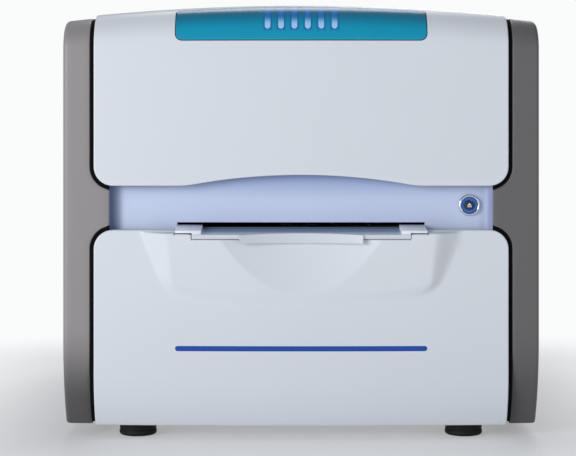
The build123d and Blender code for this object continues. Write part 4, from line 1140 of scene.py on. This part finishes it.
class Repeater:
    """Geometry Nodes set that puts one turned piece on many places."""

    def __init__(self, name: str, material: bpy.types.Material) -> None:
        tree = bpy.data.node_groups.new(name, "GeometryNodeTree")
        inputs = tree.interface
        inputs.new_socket("Geometry", in_out="INPUT", socket_type="NodeSocketGeometry")
        inputs.new_socket("Piece", in_out="INPUT", socket_type="NodeSocketObject")
        inputs.new_socket("Turn spread", in_out="INPUT", socket_type="NodeSocketFloat")
        inputs.new_socket("Seed", in_out="INPUT", socket_type="NodeSocketInt")
        inputs.new_socket("Geometry", in_out="OUTPUT", socket_type="NodeSocketGeometry")
        self.tree, self.material = tree, material
        source, end = self.add("NodeGroupInput"), self.add("NodeGroupOutput")
        piece = self.add("GeometryNodeObjectInfo")
        spread = self.add("FunctionNodeRandomValue")
        low = self.add("ShaderNodeMath", operation="MULTIPLY")
        low.inputs[1].default_value = -1.0
        turn = self.add("ShaderNodeCombineXYZ")
        place = self.add("GeometryNodeInstanceOnPoints")
        rotate = self.add("GeometryNodeRotateInstances")
        solid = self.add("GeometryNodeRealizeInstances")
        paint = self.add("GeometryNodeSetMaterial")
        paint.inputs["Material"].default_value = material
        link = tree.links.new
        link(source.outputs["Piece"], piece.inputs["Object"])
        link(source.outputs["Turn spread"], low.inputs[0])
        link(low.outputs[0], spread.inputs[2])
        link(source.outputs["Turn spread"], spread.inputs[3])
        link(source.outputs["Seed"], spread.inputs["Seed"])
        link(spread.outputs[1], turn.inputs["Z"])
        link(source.outputs["Geometry"], place.inputs["Points"])
        link(piece.outputs["Geometry"], place.inputs["Instance"])
        link(place.outputs["Instances"], rotate.inputs["Instances"])
        link(turn.outputs["Vector"], rotate.inputs["Rotation"])
        link(rotate.outputs["Instances"], solid.inputs["Geometry"])
        link(solid.outputs["Geometry"], paint.inputs["Geometry"])
        link(paint.outputs["Geometry"], end.inputs["Geometry"])

    def add(self, kind: str, **settings: object) -> bpy.types.Node:
        """One node of the set."""
        made = self.tree.nodes.new(kind)
        for key, value in settings.items():
            setattr(made, key, value)
        return made

    def bake(self, name: str, piece: Shape, places: Sequence[Sequence[float]], turn: Matrix,
             spread: float, seed: int) -> bpy.types.Object:
        """Evaluate the set once and return a plain mesh object.

        Args:
            name: Name of the result.
            piece: The repeated piece, about its own origin, standing along Z.
            places: Where it goes, in millimetres.
            turn: Rotation that stands every piece up in its place.
            spread: Largest random turn about the piece's axis, in radians.
            seed: Seed of the random turn.

        Returns:
            The baked object, not yet linked.
        """
        mesh = bpy.data.meshes.new(name + "_one")
        mesh.from_pydata([tuple(c * MM for c in p) for p in piece.points], [], piece.faces)
        one = bpy.data.objects.new(name + "_one", mesh)
        back = turn.inverted()
        dots = bpy.data.meshes.new(name + "_places")
        dots.from_pydata([tuple(back @ (Vector(p) * MM)) for p in places], [], [])
        host = bpy.data.objects.new(name + "_host", dots)
        for made in (one, host):
            bpy.context.scene.collection.objects.link(made)
        modifier = host.modifiers.new("repeat", "NODES")
        modifier.node_group = self.tree
        values = {"Piece": one, "Turn spread": spread, "Seed": seed}
        for item in self.tree.interface.items_tree:
            if item.in_out == "INPUT" and item.name in values:
                modifier[item.identifier] = values[item.name]
        graph = bpy.context.evaluated_depsgraph_get()
        baked = bpy.data.meshes.new_from_object(host.evaluated_get(graph))
        host.modifiers.remove(modifier)
        baked.name = name
        baked.transform(turn.to_4x4())
        for made in (one, host):
            bpy.data.objects.remove(made)
        return bpy.data.objects.new(name, baked)


@dataclass
class Rear:
    """Rear details: panel screws with driver recesses and the fan's wire guard."""

    face: float = 255.0
    screw_x: float = 159.0
    screw_z: tuple = (40, 135, 230, 322)
    fan_x: float = 85.0
    fan_z: float = 250.0
    guard_rings: tuple = (14, 21, 28, 35)
    guard_hole: float = 50.56
    wire_sides: int = 10

    def screw(self) -> Shape:
        """Pan-head screw with a six-lobed recess, standing along Z."""
        shape = Shape()
        steps = 48
        rings = [(1.45, -6.0, 0), (1.45, 0.0, 0), (3.1, 0.0, 0), (3.2, 0.25, 0), (3.15, 0.9, 0),
                 (2.85, 1.4, 0), (2.3, 1.7, 0), (1.6, 1.78, 1), (1.5, 0.7, 1), (0.05, 0.65, 0)]
        rows = []
        for radius, height, lobed in rings:
            row = []
            for k in range(steps):
                a = 2 * math.pi * k / steps
                r = radius * (1 + (0.12 * math.cos(6 * a) if lobed else 0))
                row.append(Vector((r * math.cos(a), r * math.sin(a), height)))
            rows.append(row)
        shape.grid(rows, loop=True)
        shape.cap(0, steps, flip=True)
        shape.cap((len(rows) - 1) * steps, steps)
        return shape

    def build(self, maker: Maker) -> None:
        """Make the screws and the guard."""
        rear = Matrix.Rotation(math.radians(-90), 3, "X")
        repeat = Repeater("repeat_screws", maker.materials["screw_steel"])
        places = [(x, self.face, z) for x in (-self.screw_x, self.screw_x) for z in self.screw_z]
        screws = repeat.bake("rear_screws", self.screw(), places, rear, 0.9, 11)
        maker.finish(screws, "screw_steel", Body.HOUSING, ("panel_screws",), 40)
        guard = Shape()
        y = self.face + 0.95
        middle = Vector((self.fan_x, y, self.fan_z))

        def around(turn: float) -> Vector:
            """Direction away from the fan's axis."""
            return Vector((math.cos(turn), 0, math.sin(turn)))

        def wire(centre: Vector, across: Vector, radius: float) -> list[Vector]:
            """One ring of points round a wire."""
            return [centre + across * radius * math.cos(b) + Vector((0, radius * math.sin(b), 0))
                    for b in (math.tau * j / self.wire_sides for j in range(self.wire_sides))]

        for radius in self.guard_rings:
            rows = []
            for k in range(72):
                out = around(2 * math.pi * k / 72)
                rows.append(wire(middle + out * radius, out, 0.9))
            guard.grid(rows + [rows[0]], loop=True)
        spokes = [around(math.radians(turn)) for turn in (45, 135, 225, 315)]
        for out in spokes:
            across = Vector((-out.z, 0, out.x))
            rows = [wire(middle + Vector((0, -0.02, 0)) + out * radius, across, 0.85)
                    for radius in (4, 36, 46, 49.5)]
            start = len(guard.points)
            guard.grid(rows, loop=True, flip=True)
            guard.cap(start, self.wire_sides)
            guard.cap(start + self.wire_sides * (len(rows) - 1), self.wire_sides, flip=True)
        for out in spokes:
            centre = Vector((self.fan_x, self.face + 0.05, self.fan_z)) + out * self.guard_hole
            guard.lathe([(1.4, 0.0), (3.3, 0.0), (3.4, 0.4), (3.3, 1.5), (1.6, 1.7), (1.4, 1.5)],
                        centre, (0, 1, 0), 32)
        shape = weld(guard)
        maker.piece("fan_wire_guard", shape, "chrome_ring", Body.HOUSING, ("fan_guard",), 45)


@dataclass
class Feet:
    """Four rubber feet with a grooved rim."""

    x: float = 140.0
    front: float = -205.0
    rear: float = 215.0

    def build(self, maker: Maker) -> None:
        """Make the feet by repeating one turned foot."""
        foot = Shape()
        rim = arc((13.6, 2.4), 2.4, -90, 0, 6)
        profile = ([(7.0, 0.0)] + rim + [(15.7, 4.6), (15.2, 5.0), (15.2, 5.6), (15.7, 6.0), (16.0, 10.8),
                   (15.2, 11.6), (12.5, 11.6), (2.7, 11.6), (2.7, 6.6), (7.0, 6.6)])
        foot.lathe(profile, (0, 0, 0), (0, 0, 1), 72)
        repeat = Repeater("repeat_feet", maker.materials["foot_rubber"])
        places = [(x, y, 0) for x in (-self.x, self.x) for y in (self.front, self.rear)]
        feet = repeat.bake("foot_set", foot, places, Matrix.Identity(3), 0.0, 3)
        maker.finish(feet, "foot_rubber", Body.HOUSING, ("rubber_feet",), 45)


# ---- Room and camera ------------------------------------------------------------------------------
@dataclass
class Studio:
    """Pale room with soft light and the camera at the photograph's angle."""

    eye: tuple = (-11.0, -1495.0, 240.4)
    lens: float = 93.6
    lift: float = -0.128
    haze: tuple = (0.955, 0.96, 0.965, 1)
    sky: tuple = (0.82, 0.87, 0.95, 1)
    sky_strength: float = 0.30
    lamps: tuple = (("key", (-2.2, -2.35, 0.7), (0, 0, 0.2), 1.5, 58),
                    ("fill", (2.2, -2.4, 0.8), (0, 0, 0.2), 1.4, 8),
                    ("back", (0.8, 2.6, 1.6), (0, 0, 0.2), 1.5, 20),
                    ("top", (0.0, 1.1, 2.3), (0, 0.1, 0.3), 1.2, 16))

    def lamp(self, name: str, place: Sequence[float], aim: Sequence[float], size: float,
             power: float) -> None:
        """Add one soft area lamp."""
        data = bpy.data.lights.new(name, "AREA")
        data.shape, data.size, data.energy = "DISK", size, power
        lamp = bpy.data.objects.new(name, data)
        lamp.location = place
        lamp.rotation_euler = (Vector(aim) - Vector(place)).to_track_quat("-Z", "Y").to_euler()
        bpy.context.scene.collection.objects.link(lamp)

    def ground(self) -> bpy.types.Material:
        """Floor that fades into the background away from the machine."""
        graph = Graph("ground")
        x, y, _ = graph.place()
        beside = graph.maths("MAXIMUM", abs(x) - 0.19, 0.0)
        before = graph.maths("MAXIMUM", abs(y) - 0.24, 0.0)
        away = ((beside * beside + before * before) ** 0.5).ramp(0.0, 0.3, 0.3, 1.0)
        grain = graph.noise(30, 2)
        pale = rgb(232, 234, 237)
        graph.set(Base_Color=graph.mix(grain, shade(pale, 0.985), pale), Roughness=0.75 + grain * 0.1,
                  Specular_IOR_Level=0.2)
        haze = graph.node("ShaderNodeEmission", {"Color": self.haze, "Strength": 1.0})
        blend = graph.node("ShaderNodeMixShader", {"Fac": away})
        graph.tree.links.new(graph.shader.outputs[0], blend.inputs[1])
        graph.tree.links.new(haze.outputs[0], blend.inputs[2])
        graph.tree.links.new(blend.outputs[0], graph.tree.nodes["Material Output"].inputs["Surface"])
        return graph.material

    def build(self, maker: Maker) -> None:
        """Make the floor, lamps, background and camera."""
        mesh = bpy.data.meshes.new("floor")
        mesh.from_pydata([(-6, -6, 0), (6, -6, 0), (6, 6, 0), (-6, 6, 0)], [], [(0, 1, 2, 3)])
        floor = bpy.data.objects.new("floor", mesh)
        mesh.materials.append(self.ground())
        bpy.context.scene.collection.objects.link(floor)
        for lamp in self.lamps:
            self.lamp(*lamp)
        world = bpy.data.worlds.new("room")
        world.use_nodes = True
        tree = world.node_tree
        paths, mix = tree.nodes.new("ShaderNodeLightPath"), tree.nodes.new("ShaderNodeMixShader")
        soft, seen = tree.nodes["Background"], tree.nodes.new("ShaderNodeBackground")
        for shader, colour, strength in ((soft, self.sky, self.sky_strength), (seen, self.haze, 1.0)):
            shader.inputs["Color"].default_value = colour
            shader.inputs["Strength"].default_value = strength
        tree.links.new(paths.outputs["Is Camera Ray"], mix.inputs[0])
        tree.links.new(soft.outputs[0], mix.inputs[1])
        tree.links.new(seen.outputs[0], mix.inputs[2])
        tree.links.new(mix.outputs[0], tree.nodes["World Output"].inputs["Surface"])
        scene = bpy.context.scene
        scene.world = world
        scene.view_settings.view_transform = "Standard"
        data = bpy.data.cameras.new("camera")
        data.lens, data.sensor_width, data.shift_y = self.lens, 36.0, self.lift
        camera = bpy.data.objects.new("camera", data)
        camera.location = Vector(self.eye) * MM
        camera.rotation_euler = (math.pi / 2, 0, 0)
        scene.collection.objects.link(camera)
        scene.camera = camera


def dress_frame(maker: Maker) -> None:
    """Give every carried-over CAD node the finish of its material slot."""
    slots = {s["node"]: s["material_slot"] for s in frame["record"]["subparts"]}
    for name, node in frame["nodes"].items():
        for place in node.material_slots:
            place.link = "OBJECT"
            place.material = maker.materials[slots[name]]
        log.info("node %s: %s", name, slots[name])


def main() -> None:
    """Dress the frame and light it."""
    logging.basicConfig(level=logging.INFO, format="%(name)s %(message)s")
    for old in list(bpy.data.objects):
        if old.type in {"CAMERA", "LIGHT"} or old.name == "Cube":
            bpy.data.objects.remove(old)
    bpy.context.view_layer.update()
    maker = Maker()
    Studio().build(maker)
    dress_frame(maker)
    UpperCover().build(maker)
    LowerCover().build(maker)
    Waist().build(maker)
    for side in (-1, 1):
        SidePanel(side).build(maker)
    EjectButton().build(maker)
    Rear().build(maker)
    Feet().build(maker)
    TrayNose().build(maker)
    VentFilter().build(maker)


if __name__ == "__main__":
    main()
